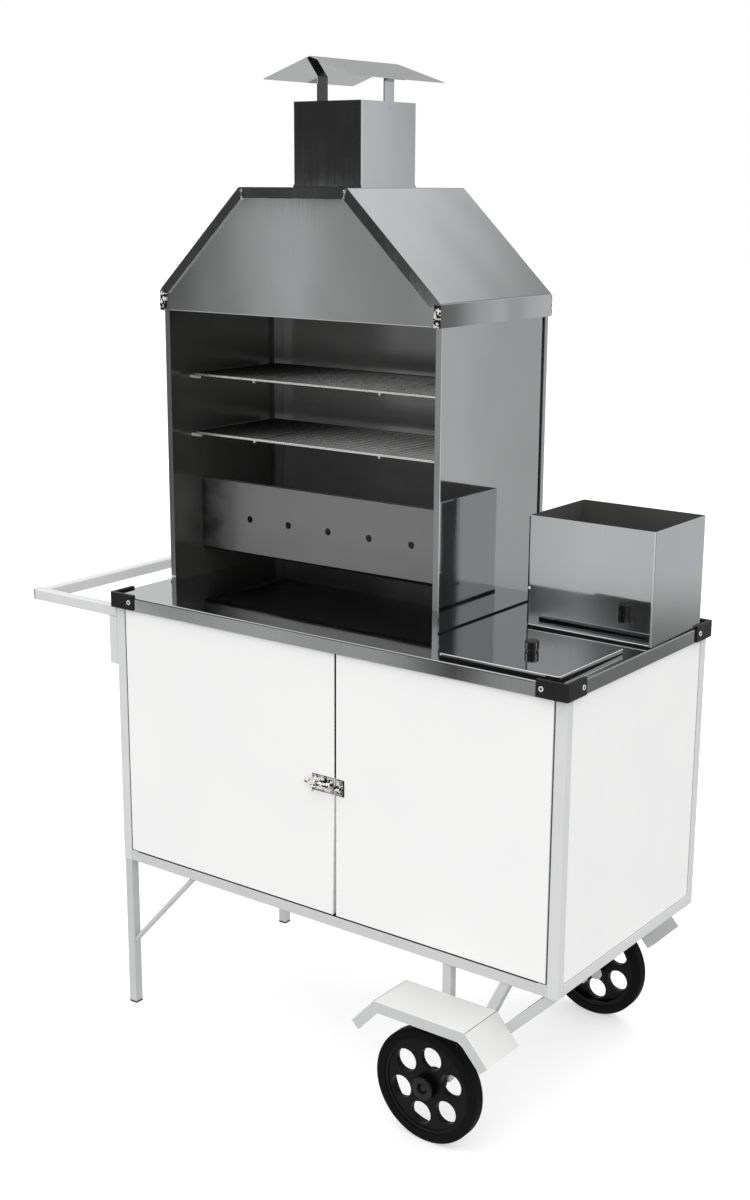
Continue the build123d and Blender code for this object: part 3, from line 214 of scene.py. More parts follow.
def firebox_sheet():
    # Mill-finish stainless sheet: greyer and softer than the polished walls, with grain along its length,
    # a left end darkened as painted shade and a black line of painted shadow that widens along its lower
    # edge.
    material, tree, shader, place = new_finish("mill_finish_stainless", {"Metallic": 0.8})
    low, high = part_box("firebox_front")
    span = add(tree, "ShaderNodeSeparateXYZ", {}, {0: place}).outputs
    # Painted shade: the left end darkens, with a wavy edge
    billow = add(tree, "ShaderNodeTexNoise", {"Scale": per_metre(70), "Detail": 2.0}, {"Vector": place})
    drift = add(tree, "ShaderNodeMath", {1: SHADE_DRIFT}, {0: billow, 2: span["X"]}, operation="MULTIPLY_ADD")
    unshaded = add(tree, "ShaderNodeMapRange", {"From Min": low[0] + SHADE_FADE[0],
                                             "From Max": low[0] + SHADE_FADE[1]},
                {"Value": drift}, interpolation_type="SMOOTHSTEP")
    shaded_tint = add(tree, "ShaderNodeMix", {6: linear("3c3c3c"), 7: linear("9a9a9a")}, {0: unshaded},
                 data_type="RGBA")
    # Painted shadow: a black line along the lower edge of the front face
    line = add(tree, "ShaderNodeMapRange", {"From Min": low[0], "From Max": high[0],
                                            "To Min": low[2] + SHADOW_LINE[0],
                                            "To Max": low[2] + SHADOW_LINE[1]}, {"Value": span["X"]})
    under = add(tree, "ShaderNodeMath", {}, {0: span["Z"], 1: line}, operation="LESS_THAN")
    front = add(tree, "ShaderNodeMath", {1: high[1]}, {0: span["Y"]}, operation="LESS_THAN")
    edge = add(tree, "ShaderNodeMath", {}, {0: under, 1: front}, operation="MULTIPLY")
    tint = add(tree, "ShaderNodeMix", {7: linear("0b0b0b")}, {0: edge, 6: shaded_tint.outputs[2]},
               data_type="RGBA")
    along = add(tree, "ShaderNodeMapping", {"Scale": (0.02, 1.0, 1.0)}, {"Vector": place})
    grain = add(tree, "ShaderNodeTexNoise", {"Scale": per_metre(2), "Detail": 3.0}, {"Vector": along})
    gloss = add(tree, "ShaderNodeMapRange", {"To Min": 0.26, "To Max": 0.34}, {"Value": grain})
    wave = add(tree, "ShaderNodeTexNoise", {"Scale": per_metre(160), "Detail": 1.0}, {"Vector": place})
    bump = add(tree, "ShaderNodeBump", {"Strength": 1.0, "Distance": 0.001}, {"Height": wave})
    link(tree, shader, {"Base Color": tint.outputs[2], "Roughness": gloss, "Normal": bump})
    return material


def plated_wire():
    # Plated steel wire: bright, a little milky, with drawing marks along it. Painted shade darkens the left
    # end of the grates, and their front wire is paler as a painted highlight.
    material, tree, shader, place, _ = mottled(
        "zinc_plated_wire", {"Metallic": 0.9}, None, (0.18, 0.42), {"Scale": per_metre(6), "Detail": 4.0},
        {"Strength": 0.3, "Distance": 0.0001})
    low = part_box("grate_upper")[0]
    span = add(tree, "ShaderNodeSeparateXYZ", {}, {0: place}).outputs
    # Painted shade at the left end of the grates
    unshaded = add(tree, "ShaderNodeMapRange", {"From Min": low[0], "From Max": low[0] + GRATE_SHADE},
                {"Value": span["X"]}, interpolation_type="SMOOTHSTEP")
    shaded_tint = add(tree, "ShaderNodeMix", {6: linear("484847"), 7: linear("b4b4b3")}, {0: unshaded},
                 data_type="RGBA")
    # Painted highlight: the front wire is paler
    front = add(tree, "ShaderNodeMath", {1: low[1] + FRONT_WIRE}, {0: span["Y"]}, operation="LESS_THAN")
    tint = add(tree, "ShaderNodeMix", {7: linear("f6f6f4")}, {0: front, 6: shaded_tint.outputs[2]},
               data_type="RGBA")
    link(tree, shader, {"Base Color": tint.outputs[2]})
    return material


def nickel_plate():
    # Nickel-plated pressed steel: warm bright plate over a pressing with soft stamping marks.
    return mottled("nickel_plated_pressing", {"Base Color": linear("dcdad6"), "Metallic": 1.0}, None,
                   (0.08, 0.24), {"Scale": per_metre(5), "Detail": 3.0},
                   {"Strength": 0.2, "Distance": 0.0003})[0]


def patchy_nickel(name, patch_from):
    # Patchy nickel: bright islands of plate between dark, dull hollows, as on nickel worn through to black
    # steel. On the hood's corner tabs the patches are painted reflection on crumpled steel.
    material, tree, shader, place = new_finish(name, {"Metallic": 0.4})
    hollows = add(tree, "ShaderNodeTexNoise", {"Scale": per_metre(6), "Detail": 2.0}, {"Vector": place})
    plate_share = add(tree, "ShaderNodeMapRange", {"From Min": patch_from, "From Max": patch_from + PATCH_EDGE},
               {"Value": hollows})
    tint = add(tree, "ShaderNodeMix", {6: linear("0a0a09"), 7: linear("fbf9f6")}, {0: plate_share}, data_type="RGBA")
    gloss = add(tree, "ShaderNodeMapRange", {"To Min": 0.5, "To Max": 0.1}, {"Value": plate_share})
    bump = add(tree, "ShaderNodeBump", {"Strength": 0.4, "Distance": 0.0003}, {"Height": plate_share})
    link(tree, shader, {"Base Color": tint.outputs[2], "Roughness": gloss, "Normal": bump})
    return material


def blackened_steel(name, dark, pale):
    # Oil-blackened steel: dark grey, with a dull bloom where it has been handled.
    return mottled(name, {"Metallic": 1.0}, (dark, pale), (0.25, 0.5),
                   {"Scale": per_metre(8), "Detail": 4.0})[0]


def black_plastic():
    # Injection-moulded polypropylene: black, with a fine spark-eroded grain that dulls its shine.
    return mottled("moulded_polypropylene", {"IOR": 1.49, "Specular IOR Level": 0.3}, ("121213", "1b1b1c"),
                   (0.34, 0.5), {"Scale": per_metre(25), "Detail": 3.0},
                   {"Strength": 0.4, "Distance": 0.0001}, {"Scale": per_metre(0.9), "Detail": 2.0})[0]


def wheel_nylon():
    # Injection-moulded nylon wheel: black, satin, with flow marks, and dark grey round the hub.
    material, tree, shader, place, tint = mottled(
        "moulded_nylon", {"IOR": 1.53, "Specular IOR Level": 0.14}, ("060606", "0d0d0d"), (0.3, 0.46),
        {"Scale": per_metre(30), "Detail": 4.0, "Distortion": 1.0}, {"Strength": 0.3, "Distance": 0.0003})
    away = add(tree, "ShaderNodeVectorMath", {1: middle_of("axle")}, {0: place}, operation="SUBTRACT")
    across = add(tree, "ShaderNodeVectorMath", {1: (1.0, 0.0, 1.0)}, {0: away}, operation="MULTIPLY")
    reach = add(tree, "ShaderNodeVectorMath", {}, {0: across}, operation="LENGTH").outputs["Value"]
    hub_share = add(tree, "ShaderNodeMapRange", {"From Min": HUB_RIM[0], "From Max": HUB_RIM[1],
                                              "To Min": 1.0, "To Max": 0.0}, {"Value": reach})
    hub_tint = add(tree, "ShaderNodeMix", {7: linear("262626")}, {0: hub_share, 6: tint}, data_type="RGBA")
    link(tree, shader, {"Base Color": hub_tint.outputs[2]})
    return material


def tyre_rubber():
    # Solid moulded rubber: black, with a dry bloom and a fine grain.
    return mottled("solid_rubber", {"IOR": 1.52, "Specular IOR Level": 0.1}, ("070707", "101010"),
                   (0.5, 0.72), {"Scale": per_metre(12), "Detail": 5.0},
                   {"Strength": 0.5, "Distance": 0.0002}, {"Scale": per_metre(1.2), "Detail": 2.0})[0]


def knob_phenolic():
    # Turned and polished phenolic resin: deep black, with a hard shine along its sides.
    return mottled("polished_phenolic", {"IOR": 1.6}, ("0b0b0b", "171616"), (0.05, 0.12),
                   {"Scale": per_metre(4), "Detail": 4.0})[0]


def matt_strip(name, dark, pale):
    # Matt strip, dusty in places: in black it is painted shade in gaps, recesses and under edges; in grey it
    # is silicone round the panels and paler painted shade in the right door's gap.
    return mottled(name, {"IOR": 1.43, "Specular IOR Level": 0.2}, (dark, pale), (0.5, 0.8),
                   {"Scale": per_metre(10), "Detail": 4.0})[0]


def white_zinc():
    # White zinc on small turned heads: pale and milky, half matt. The same finish makes painted highlights
    # on the edges of the lid and the bin.
    return mottled("white_zinc_and_edge_highlight", {"Base Color": linear("f2f2f0"), "Metallic": 0.4}, None, (0.15, 0.35),
                   {"Scale": per_metre(2), "Detail": 3.0})[0]


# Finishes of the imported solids, by slot and then by node
OVEN_WALLS = ("oven_wall_left", "oven_wall_right")
HOOD_SHEETS = ("hood_wrap", "hood_front", "hood_back")
plain_steel = mirror_steel("mirror_polished_stainless")
nickel = nickel_plate()
pale_zinc_and_highlight = white_zinc()
# Frame paint made greyer for the legs, braces, struts and lug low down, as painted shade
shaded_coat = powder_coat("powder_coat_painted_shade_tube", "bfc0c1", "c9caca")
worn_plate = patchy_nickel("worn_nickel_plate", 0.46)
# Black that paints shade in recesses, gaps and under edges; also the bolt's drop handle and the fender folds
dark_recess = matt_strip("matt_black_painted_shade", "070707", "141414")
# Grey silicone for the panel beads, and paler painted shade in the right door's gap
grey_sealant_and_gap_shade = matt_strip("grey_silicone_and_gap_shade", "7c7c7b", "8a8a89")
finishes = {
    "frame_paint": powder_coat("powder_coated_steel", "d1d2d3", "dbdbda"),
    "panel_paint": gloss_enamel(),
    "mirror_steel": plain_steel,
    "firebox_steel": firebox_sheet(),
    "wire_steel": plated_wire(),
    "bright_nickel": nickel,
    "axle_steel": blackened_steel("oil_blackened_bar", "2c2c2d", "4a4a4b"),
    "black_plastic": black_plastic(),
    "wheel_plastic": wheel_nylon(),
    "tyre_rubber": tyre_rubber(),
}
own_finishes = {
    "lid_knob": knob_phenolic(),
    # Front fender: paler than the frame as painted light, its front lip greyer as painted shade
    "fender_front": powder_coat("powder_coat_painted_light_and_shade", "d8d8d8", "e0dfde", "c6c7c7"),
    # Rear fender: darker as painted shade, with a paler front lip as painted light
    "fender_rear": powder_coat("powder_coat_painted_shade_and_light", "9c9d9e", "a7a7a6", "cacbcb"),
    # Bottom long rails: greyer than the frame as painted shade
    "rails_bottom_long": powder_coat("powder_coat_painted_shade_rail", "c5c6c7", "cfcfce"),
    "oven_back": mirror_steel("smoked_stainless_back", ("oven_back",) + OVEN_WALLS, ("848484", "a8a7a6")),
    "bin_box": mirror_steel("stained_stainless_bin", ("bin_box",), ("666564", "868584")),
    "grate_pegs": pale_zinc_and_highlight,
    "latch_plate": worn_plate,
    "latch_bolt": worn_plate,
    "latch_keeper": patchy_nickel("worn_nickel_keeper", 0.53),
}
# Legs, braces and struts take the coat greyed as painted shade
for node in ("legs", "leg_braces", "struts_upright", "struts_corner", "struts_middle"):
    own_finishes[node] = shaded_coat
for name, group in (("walls", OVEN_WALLS), ("hood", HOOD_SHEETS), ("flue", ("chimney", "cap_straps"))):
    smoked_steel = mirror_steel("smoked_stainless_" + name, group)
    for node in group:
        own_finishes[node] = smoked_steel
for part in frame["record"]["subparts"]:
    for held in nodes[part["node"]].material_slots:
        held.material = own_finishes.get(part["node"], finishes[part["material_slot"]])


# Making pieces: how near points merge, the share of a fastener that is its end, and the steps in a bend
MERGE_DIST = 1e-6
END_SHARE = 0.1
CORNER_STEPS = 4


def put(name, mesh, body, stands_for=()):
    """Set a finished mesh on the cart: it moves with a body, and may stand for CAD nodes."""
    piece = bpy.data.objects.new(name, mesh)
    bpy.context.scene.collection.objects.link(piece)
    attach(piece, body)
    if stands_for:
        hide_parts(*stands_for)
    return piece


def put_shape(name, shape, finish, body):
    """Set a shape built in mesh code on the cart."""
    bmesh.ops.recalc_face_normals(shape, faces=shape.faces)
    mesh = bpy.data.meshes.new(name)
    shape.to_mesh(mesh)
    shape.free()
    mesh.materials.append(finish)
    return put(name, mesh, body)


def put_blocks(name, blocks, finish, body, bevel=0.0):
    """Set closed blocks on the cart, each between a low and a high corner."""
    shape = bmesh.new()
    for low, high in blocks:
        spots = [shape.verts.new((x, y, z)) for x in (low[0], high[0]) for y in (low[1], high[1])
                 for z in (low[2], high[2])]
        for ring in ((0, 1, 3, 2), (4, 6, 7, 5), (0, 4, 5, 1), (2, 3, 7, 6), (0, 2, 6, 4), (1, 5, 7, 3)):
            shape.faces.new([spots[i] for i in ring])
    if bevel:
        bmesh.ops.bevel(shape, geom=shape.edges, offset=bevel, segments=2, affect="EDGES")
    return put_shape(name, shape, finish, body)


def put_wire(name, paths, radius, finish, body, closed=False):
    """Set round wire or a rolled hem on the cart, along each path of points."""
    curve = bpy.data.curves.new(name, "CURVE")
    curve.dimensions = "3D"
    curve.bevel_depth = radius
    curve.bevel_resolution = 2
    curve.use_fill_caps = True
    for path in paths:
        spline = curve.splines.new("POLY")
        spline.points.add(len(path) - 1)
        for point, spot in zip(spline.points, path):
            point.co = (*spot, 1.0)
        spline.use_cyclic_u = closed
    line = bpy.data.objects.new(name + "_line", curve)
    bpy.context.scene.collection.objects.link(line)
    mesh = bpy.data.meshes.new_from_object(line.evaluated_get(bpy.context.evaluated_depsgraph_get()))
    bpy.data.objects.remove(line)
    mesh.materials.clear()
    mesh.materials.append(finish)
    return put(name, mesh, body)


def new_tree(name, sizes):
    """A geometry tree with named sizes, and its input sockets."""
    tree = bpy.data.node_groups.new(name, "GeometryNodeTree")
    tree.interface.new_socket("Places", in_out="INPUT", socket_type="NodeSocketGeometry")
    for label, value in sizes.items():
        kind = "NodeSocketInt" if isinstance(value, int) else "NodeSocketFloat"
        tree.interface.new_socket(label, in_out="INPUT", socket_type=kind).default_value = value
    tree.interface.new_socket("Pieces", in_out="OUTPUT", socket_type="NodeSocketGeometry")
    return tree, add(tree, "NodeGroupInput").outputs


def grow(name, places, tree, sizes, body, stands_for=()):
    """Run a geometry tree on a mesh of places and set the plain mesh that it makes on the cart."""
    host = bpy.data.objects.new(name + "_places", places)
    bpy.context.scene.collection.objects.link(host)
    work = host.modifiers.new("make", "NODES")
    work.node_group = tree
    for item in tree.interface.items_tree:
        if item.in_out == "INPUT" and item.name in sizes:
            work[item.identifier] = sizes[item.name]
    mesh = bpy.data.meshes.new_from_object(host.evaluated_get(bpy.context.evaluated_depsgraph_get()))
    host.modifiers.remove(work)
    bpy.data.objects.remove(host)
    return put(name, mesh, body, stands_for)


def head_dome(tree, given):
    """The flattened ball that the head of a fastener is made of."""
    ball = add(tree, "GeometryNodeMeshUVSphere", {"Segments": 16, "Rings": 8, "Radius": 1.0})
    flat = add(tree, "ShaderNodeCombineXYZ", {}, {0: given["Head radius"], 1: given["Head radius"],
                                                  2: given["Head height"]})
    return add(tree, "GeometryNodeTransform", {}, {"Geometry": ball, "Scale": flat})


def finish_heads(tree, places, head, recess, steel):
    """Stand one head on each place, facing outwards, and give its recess the dark finish as painted shade."""
    marked = add(tree, "GeometryNodeStoreNamedAttribute", {"Name": "recess", "Value": True},
                 {"Geometry": recess}, data_type="BOOLEAN", domain="FACE")
    whole = add(tree, "GeometryNodeJoinGeometry", {}, {0: head})
    link(tree, whole, {0: marked})
    facing = add(tree, "GeometryNodeInputNamedAttribute", {"Name": "facing"}, data_type="FLOAT_VECTOR")
    stand = add(tree, "FunctionNodeAlignRotationToVector", {}, {"Vector": facing}, axis="Z")
    stood = add(tree, "GeometryNodeInstanceOnPoints", {},
                {"Points": places, "Instance": whole, "Rotation": stand})
    real = add(tree, "GeometryNodeRealizeInstances", {}, {0: stood})
    round_off = add(tree, "GeometryNodeSetShadeSmooth", {}, {"Geometry": real})
    plated = add(tree, "GeometryNodeSetMaterial", {"Material": steel}, {"Geometry": round_off})
    hollow = add(tree, "GeometryNodeInputNamedAttribute", {"Name": "recess"}, data_type="BOOLEAN")
    dark = add(tree, "GeometryNodeSetMaterial", {"Material": dark_recess},
               {"Geometry": plated, "Selection": hollow})
    add(tree, "NodeGroupOutput", {}, {"Pieces": dark})
    return tree


def ringed_heads(name, plating):
    """Domed heads with a raised ring round a middle painted dark as shade, as blind rivets and cup washers
    have.
    """
    sizes = {"Head radius": 0.003, "Head height": 0.0013, "Ring radius": 0.0012, "Ring wire": 0.0004,
             "Ring rise": 0.0012, "Hole radius": 0.001}
    tree, given = new_tree(name, sizes)
    path = add(tree, "GeometryNodeCurvePrimitiveCircle", {"Resolution": 16}, {"Radius": given["Ring radius"]})
    wire = add(tree, "GeometryNodeCurvePrimitiveCircle", {"Resolution": 6}, {"Radius": given["Ring wire"]})
    hoop = add(tree, "GeometryNodeCurveToMesh", {}, {"Curve": path, "Profile Curve": wire})
    rise = add(tree, "ShaderNodeCombineXYZ", {}, {2: given["Ring rise"]})
    ring = add(tree, "GeometryNodeTransform", {}, {"Geometry": hoop, "Translation": rise})
    head = add(tree, "GeometryNodeJoinGeometry", {}, {0: head_dome(tree, given)})
    link(tree, head, {0: ring})
    hole = add(tree, "GeometryNodeMeshCone", {"Vertices": 12, "Radius Top": 0.0},
               {"Radius Bottom": given["Hole radius"], "Depth": given["Ring wire"]})
    sunk = add(tree, "GeometryNodeTransform", {}, {"Geometry": hole, "Translation": rise})
    return finish_heads(tree, given["Places"], head, sunk, plating)


def cross_heads():
    """Pan heads with a cross recess painted dark as shade."""
    sizes = {"Head radius": 0.0023, "Head height": 0.0011, "Slot length": 0.0026, "Slot width": 0.0006}
    tree, given = new_tree("cross_heads", sizes)
    rise = add(tree, "ShaderNodeCombineXYZ", {}, {2: given["Head height"]})
    cross = add(tree, "GeometryNodeJoinGeometry")
    for along, over in (("Slot length", "Slot width"), ("Slot width", "Slot length")):
        extent = add(tree, "ShaderNodeCombineXYZ", {},
                     {0: given[along], 1: given[over], 2: given["Slot width"]})
        slot = add(tree, "GeometryNodeMeshCube", {}, {"Size": extent})
        cut = add(tree, "GeometryNodeTransform", {}, {"Geometry": slot, "Translation": rise})
        link(tree, cross, {0: cut})
    return finish_heads(tree, given["Places"], head_dome(tree, given), cross, nickel)


def bead_rows(name, finish):
    """Rows of overlapping beads along lines, as a weld seam or a beaded border has."""
    sizes = {"Pitch": 0.002, "Bead radius": 0.0016, "Unevenness": 0.15, "Seed": 4}
    tree, given = new_tree(name, sizes)
    line = add(tree, "GeometryNodeMeshToCurve", {}, {0: given["Places"]})
    spots = add(tree, "GeometryNodeResampleCurve", {}, {"Curve": line, "Length": given["Pitch"]},
                mode="LENGTH")
    ball = add(tree, "GeometryNodeMeshIcoSphere", {"Subdivisions": 2}, {"Radius": given["Bead radius"]})
    less = add(tree, "ShaderNodeMath", {0: 1.0}, {1: given["Unevenness"]}, operation="SUBTRACT")
    more = add(tree, "ShaderNodeMath", {0: 1.0}, {1: given["Unevenness"]}, operation="ADD")
    swell = add(tree, "FunctionNodeRandomValue", {}, {2: less, 3: more, "Seed": given["Seed"]},
                data_type="FLOAT")
    beads = add(tree, "GeometryNodeInstanceOnPoints", {},
                {"Points": spots, "Instance": ball, "Scale": swell.outputs[1]})
    real = add(tree, "GeometryNodeRealizeInstances", {}, {0: beads})
    smooth = add(tree, "GeometryNodeSetShadeSmooth", {}, {"Geometry": real})
    coat = add(tree, "GeometryNodeSetMaterial", {"Material": finish}, {"Geometry": smooth})
    add(tree, "NodeGroupOutput", {}, {"Pieces": coat})
    return tree


def feet_mesh(name, feet):
    """A mesh with one point on each foot, and the way that its head faces."""
    mesh = bpy.data.meshes.new(name)
    mesh.from_pydata([foot for foot, facing in feet], [], [])
    given = mesh.attributes.new("facing", "FLOAT_VECTOR", "POINT")
    for spot, (foot, facing) in zip(given.data, feet):
        spot.vector = facing
    return mesh


def head_places(node):
    """The foot of each fastener in a node: the wider end of each loose island of its mesh."""
    feet = []
    shape = bmesh.new()
    shape.from_mesh(nodes[node].data)
    bmesh.ops.remove_doubles(shape, verts=shape.verts, dist=MERGE_DIST)
    shape.verts.index_update()
    seen = set()
    for first in shape.verts:
        if first.index in seen:
            continue
        seen.add(first.index)
        island = [first]
        for vert in island:
            for edge in vert.link_edges:
                other = edge.other_vert(vert)
                if other.index not in seen:
                    seen.add(other.index)
                    island.append(other)
        low = [min(v.co[i] for v in island) for i in range(3)]
        high = [max(v.co[i] for v in island) for i in range(3)]
        thin = min(range(3), key=lambda i: high[i] - low[i])
        middle = Vector([0.5 * (a + b) for a, b in zip(low, high)])
        band = END_SHARE * (high[thin] - low[thin])
        spread = []
        for end in (low[thin], high[thin]):
            ring = [v.co for v in island if abs(v.co[thin] - end) < band]
            spread.append(max((spot - middle).length for spot in ring))
        facing = Vector((0.0, 0.0, 0.0))
        facing[thin] = 1.0 if spread[1] < spread[0] else -1.0
        middle[thin] = low[thin] if spread[1] < spread[0] else high[thin]
        feet.append((middle, facing))
    shape.free()
    return feet_mesh(node + "_feet", feet)


def lines_mesh(name, paths):
    """A mesh of bare edges along each path of points."""
    points = []
    edges = []
    for path in paths:
        first = len(points)
        points += path
        edges += [(first + i, first + i + 1) for i in range(len(path) - 1)]
    mesh = bpy.data.meshes.new(name)
    mesh.from_pydata(points, edges, [])
    return mesh


def join_rings(shape, one, other):
    """Add the faces between two rings of as many points to a shape."""
    for i in range(len(one)):
        j = (i + 1) % len(one)
        shape.faces.new((one[i], one[j], other[j], other[i]))


def close_rings(shape, rings):
    """Make a row of rings a closed solid of a shape, with a face on each end."""
    for one, other in zip(rings, rings[1:]):
        join_rings(shape, one, other)
    shape.faces.new(rings[0])
    shape.faces.new(rings[-1])


def round_path(low, high, corner, grow_by=0.0):
    """Points round the upright sides of a box with rounded corners, from the front left one."""
    near, far = [a + corner for a in low[:2]], [a - corner for a in high[:2]]
    path = []
    for number, (x, y) in enumerate((near, (far[0], near[1]), far, (near[0], far[1]))):
        for i in range(CORNER_STEPS + 1):
            angle = math.radians(180 + 90 * (number + i / CORNER_STEPS))
            path.append((x + (corner + grow_by) * math.cos(angle), y + (corner + grow_by) * math.sin(angle)))
    return path


def add_band(shape, low, high, wall, corner, tops=None):
    """Add a closed band round the upright sides of a box to a shape; its top can differ at each corner."""
    tops = tops or [high[2]] * 4
    loops = []
    for grow_by in (0.0, wall):
        path = round_path(low, high, corner, grow_by)
        heights = [tops[i // (CORNER_STEPS + 1)] for i in range(len(path))]
        loops.append([shape.verts.new((x, y, low[2])) for x, y in path])
        loops.append([shape.verts.new((x, y, z)) for (x, y), z in zip(path, heights)])
    for one, other in ((0, 1), (1, 3), (3, 2), (2, 0)):
        join_rings(shape, loops[one], loops[other])


# Fasteners
grow("rivet_heads", head_places("rivets"), ringed_heads("blind_rivets", nickel), {}, "cart",
     ("rivets",))
grow("guard_screw_heads", head_places("guard_screws"), ringed_heads("cup_washers", pale_zinc_and_highlight),
     {"Head radius": 0.0044, "Head height": 0.0009, "Ring radius": 0.0035, "Ring wire": 0.0009,
      "Ring rise": 0.0006, "Hole radius": 0.0027}, "cart", ("guard_screws",))
crossed = cross_heads()
for kind, body in (("latch_screw", "door_left"), ("keeper_screw", "door_right")):
    grow(kind + "_heads", head_places(kind + "s"), crossed, {}, body, (kind + "s",))

# Latch: beaded borders that leave the bolt's way free, on a thin black band of painted shadow that shows as a
# dark line round the plate. The band goes past the left and the right of its plate by different amounts.
LATCH_INSET = 0.0013
LATCH_FACE = -0.2365
BOLT_WAY = 0.006
latch_beads = bead_rows("latch_beads", nickel)
for node, body in (("latch_plate", "door_left"), ("latch_keeper", "door_right")):
    low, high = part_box(node)
    left, right = low[0] + LATCH_INSET, high[0] - LATCH_INSET
    borders = []
    for side, end in ((-1.0, low[2] + LATCH_INSET), (1.0, high[2] - LATCH_INSET)):
        stop = middle_of(node)[2] + side * BOLT_WAY
        corners = ((left, stop), (left, end), (right, end), (right, stop))
        borders.append([(x, LATCH_FACE, z) for x, z in corners])
    grow(node + "_beads", lines_mesh(node + "_border", borders), latch_beads,
         {"Pitch": 0.0022, "Bead radius": 0.001, "Unevenness": 0.05}, body)

# Painted shadow round the plate and keeper: a thin black band behind each
OUTLINE_T = 0.0008
OUTLINE_BELOW = 0.0014
OUTLINE_ABOVE = 0.0009
OUTLINE_BEVEL = 0.0003
for node, body, left, right in (("latch_plate", "door_left", 0.0012, 0.0004),
                                ("latch_keeper", "door_right", 0.0004, 0.0022)):
    low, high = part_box(node)
    put_blocks(node + "_shadow_outline", [((low[0] - left, high[1] - OUTLINE_T, low[2] - OUTLINE_BELOW),
                                    (high[0] + right, high[1], high[2] + OUTLINE_ABOVE))],
               dark_recess, body, OUTLINE_BEVEL)

# Bolt's drop handle: a pin with a ball on its end, hung from the thumb
HANDLE_R = 0.0013
BALL_R = 0.0026
DROP_IN = (0.002, 0.001)
DROP_LEFT = 0.003
DROP_DOWN = 0.009
thumb_x, _, bolt_z = middle_of("latch_bolt")
bolt_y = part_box("latch_bolt")[0][1]
hung = [(thumb_x, bolt_y + DROP_IN[0], bolt_z),
        (thumb_x - DROP_LEFT, bolt_y + DROP_IN[1], bolt_z - DROP_DOWN)]
put_wire("latch_bolt_drop", [hung], HANDLE_R, dark_recess, "latch_bolt")
ball = bmesh.new()
bmesh.ops.create_icosphere(ball, subdivisions=3, radius=BALL_R, matrix=Matrix.Translation(hung[-1]))
put_shape("latch_bolt_ball", ball, nickel, "latch_bolt")

# Weld seams where the rails meet the posts
seams = []
for node in ("rails_bottom_long", "rails_top_long", "rails_bottom_side", "rails_top_side"):
    low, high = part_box(node)
    seams += [[(x, y, low[2]), (x, y, high[2])] for x in (low[0], high[0]) for y in (low[1], high[1])]
grow("frame_welds", lines_mesh("frame_seams", seams), bead_rows("weld_beads", finishes["frame_paint"]),
     {"Pitch": 0.0021, "Bead radius": 0.0015}, "cart")

# Hood rims, which spring a little forward of the bend and have a slightly ragged inner edge
HOOD_TOP_HALF = 0.1165
SKIRT_RISE = 0.038
RIM_W = 0.018
RIM_GAP = 0.003
RIM_MITRE = 0.42
RIM_OUTER_PROUD = 0.0003
RIM_INNER_PROUD = 0.0015
RIM_STEP = 0.012
RIM_LEAST_STEPS = 8
RAGGED_BY = 0.0006
RAGGED_RATE = 40.0
hood_low, hood_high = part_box("hood_wrap")
hood_mid = middle_of("hood_wrap")[0]
hood_faces = ((hood_low[1], -1.0), (hood_high[1], 1.0))
outline = [(hood_high[0], hood_low[2] + SKIRT_RISE), (hood_mid + HOOD_TOP_HALF, hood_high[2]),
           (hood_mid - HOOD_TOP_HALF, hood_high[2]), (hood_low[0], hood_low[2] + SKIRT_RISE)]
trim = 0.5 * RIM_GAP
rims = bmesh.new()
for face_y, out in hood_faces:
    for (x0, z0), (x1, z1) in zip(outline, outline[1:]):
        length = math.hypot(x1 - x0, z1 - z0)
        along = ((x1 - x0) / length, (z1 - z0) / length)
        inward = (-along[1], along[0])
        steps = max(RIM_LEAST_STEPS, round(length / RIM_STEP))
        rings = []
        for i in range(steps + 1):
            reach = RIM_W + RAGGED_BY * noise.noise((x0 + RAGGED_RATE * i / steps, z0, out))
            inset = trim + reach * RIM_MITRE
            near = trim + (length - 2 * trim) * i / steps
            far = inset + (length - 2 * inset) * i / steps
            edge = (x0 + along[0] * near, z0 + along[1] * near)
            inner = (x0 + along[0] * far + inward[0] * reach, z0 + along[1] * far + inward[1] * reach)
            rings.append([rims.verts.new((x, face_y + out * proud, z)) for (x, z), proud in (
                (edge, 0.0), (edge, RIM_OUTER_PROUD), (inner, RIM_INNER_PROUD), (inner, 0.0))])
        close_rings(rims, rings)
put_shape("hood_rims", rims, mirror_steel("brushed_stainless_rims", dull=0.07), "cart")

# Crumpled corners of the hood's skirts, whose black and bright patches are painted reflection
TAB_STEPS_X = 8
TAB_STEPS_Z = 14
TAB_W = 0.012
TAB_PAST = 0.0003
TAB_T = 0.0004
TAB_DEEP = 0.0046
TAB_LIFT = 0.0005
TAB_SHORT = 0.002
CRUMPLES = (330.0, 210.0)
tabs = bmesh.new()
for face_y, out in hood_faces:
    for x0, x1 in ((hood_low[0] - TAB_PAST, hood_low[0] + TAB_W),
                   (hood_high[0] - TAB_W, hood_high[0] + TAB_PAST)):
        columns = []
        for i in range(TAB_STEPS_X + 1):
            x = x0 + (x1 - x0) * i / TAB_STEPS_X
            column = []
            for k in range(TAB_STEPS_Z + 1):
                z = hood_low[2] + TAB_LIFT + (SKIRT_RISE - TAB_SHORT) * k / TAB_STEPS_Z
                crumple = 0.5 + 0.5 * noise.noise((x * CRUMPLES[0], out, z * CRUMPLES[1]))
                column.append(tabs.verts.new((x, face_y + out * (TAB_T + TAB_DEEP * crumple), z)))
            columns.append(column)
        for one, other in zip(columns, columns[1:]):
            for k in range(TAB_STEPS_Z):
                tabs.faces.new((one[k], other[k], other[k + 1], one[k + 1]))
        rim = [column[0] for column in columns] + columns[-1][1:]
        rim += [column[-1] for column in columns[-2::-1]] + columns[0][-2:0:-1]
        base = [tabs.verts.new((v.co.x, face_y, v.co.z)) for v in rim]
        join_rings(tabs, rim, base)
        tabs.faces.new(base)
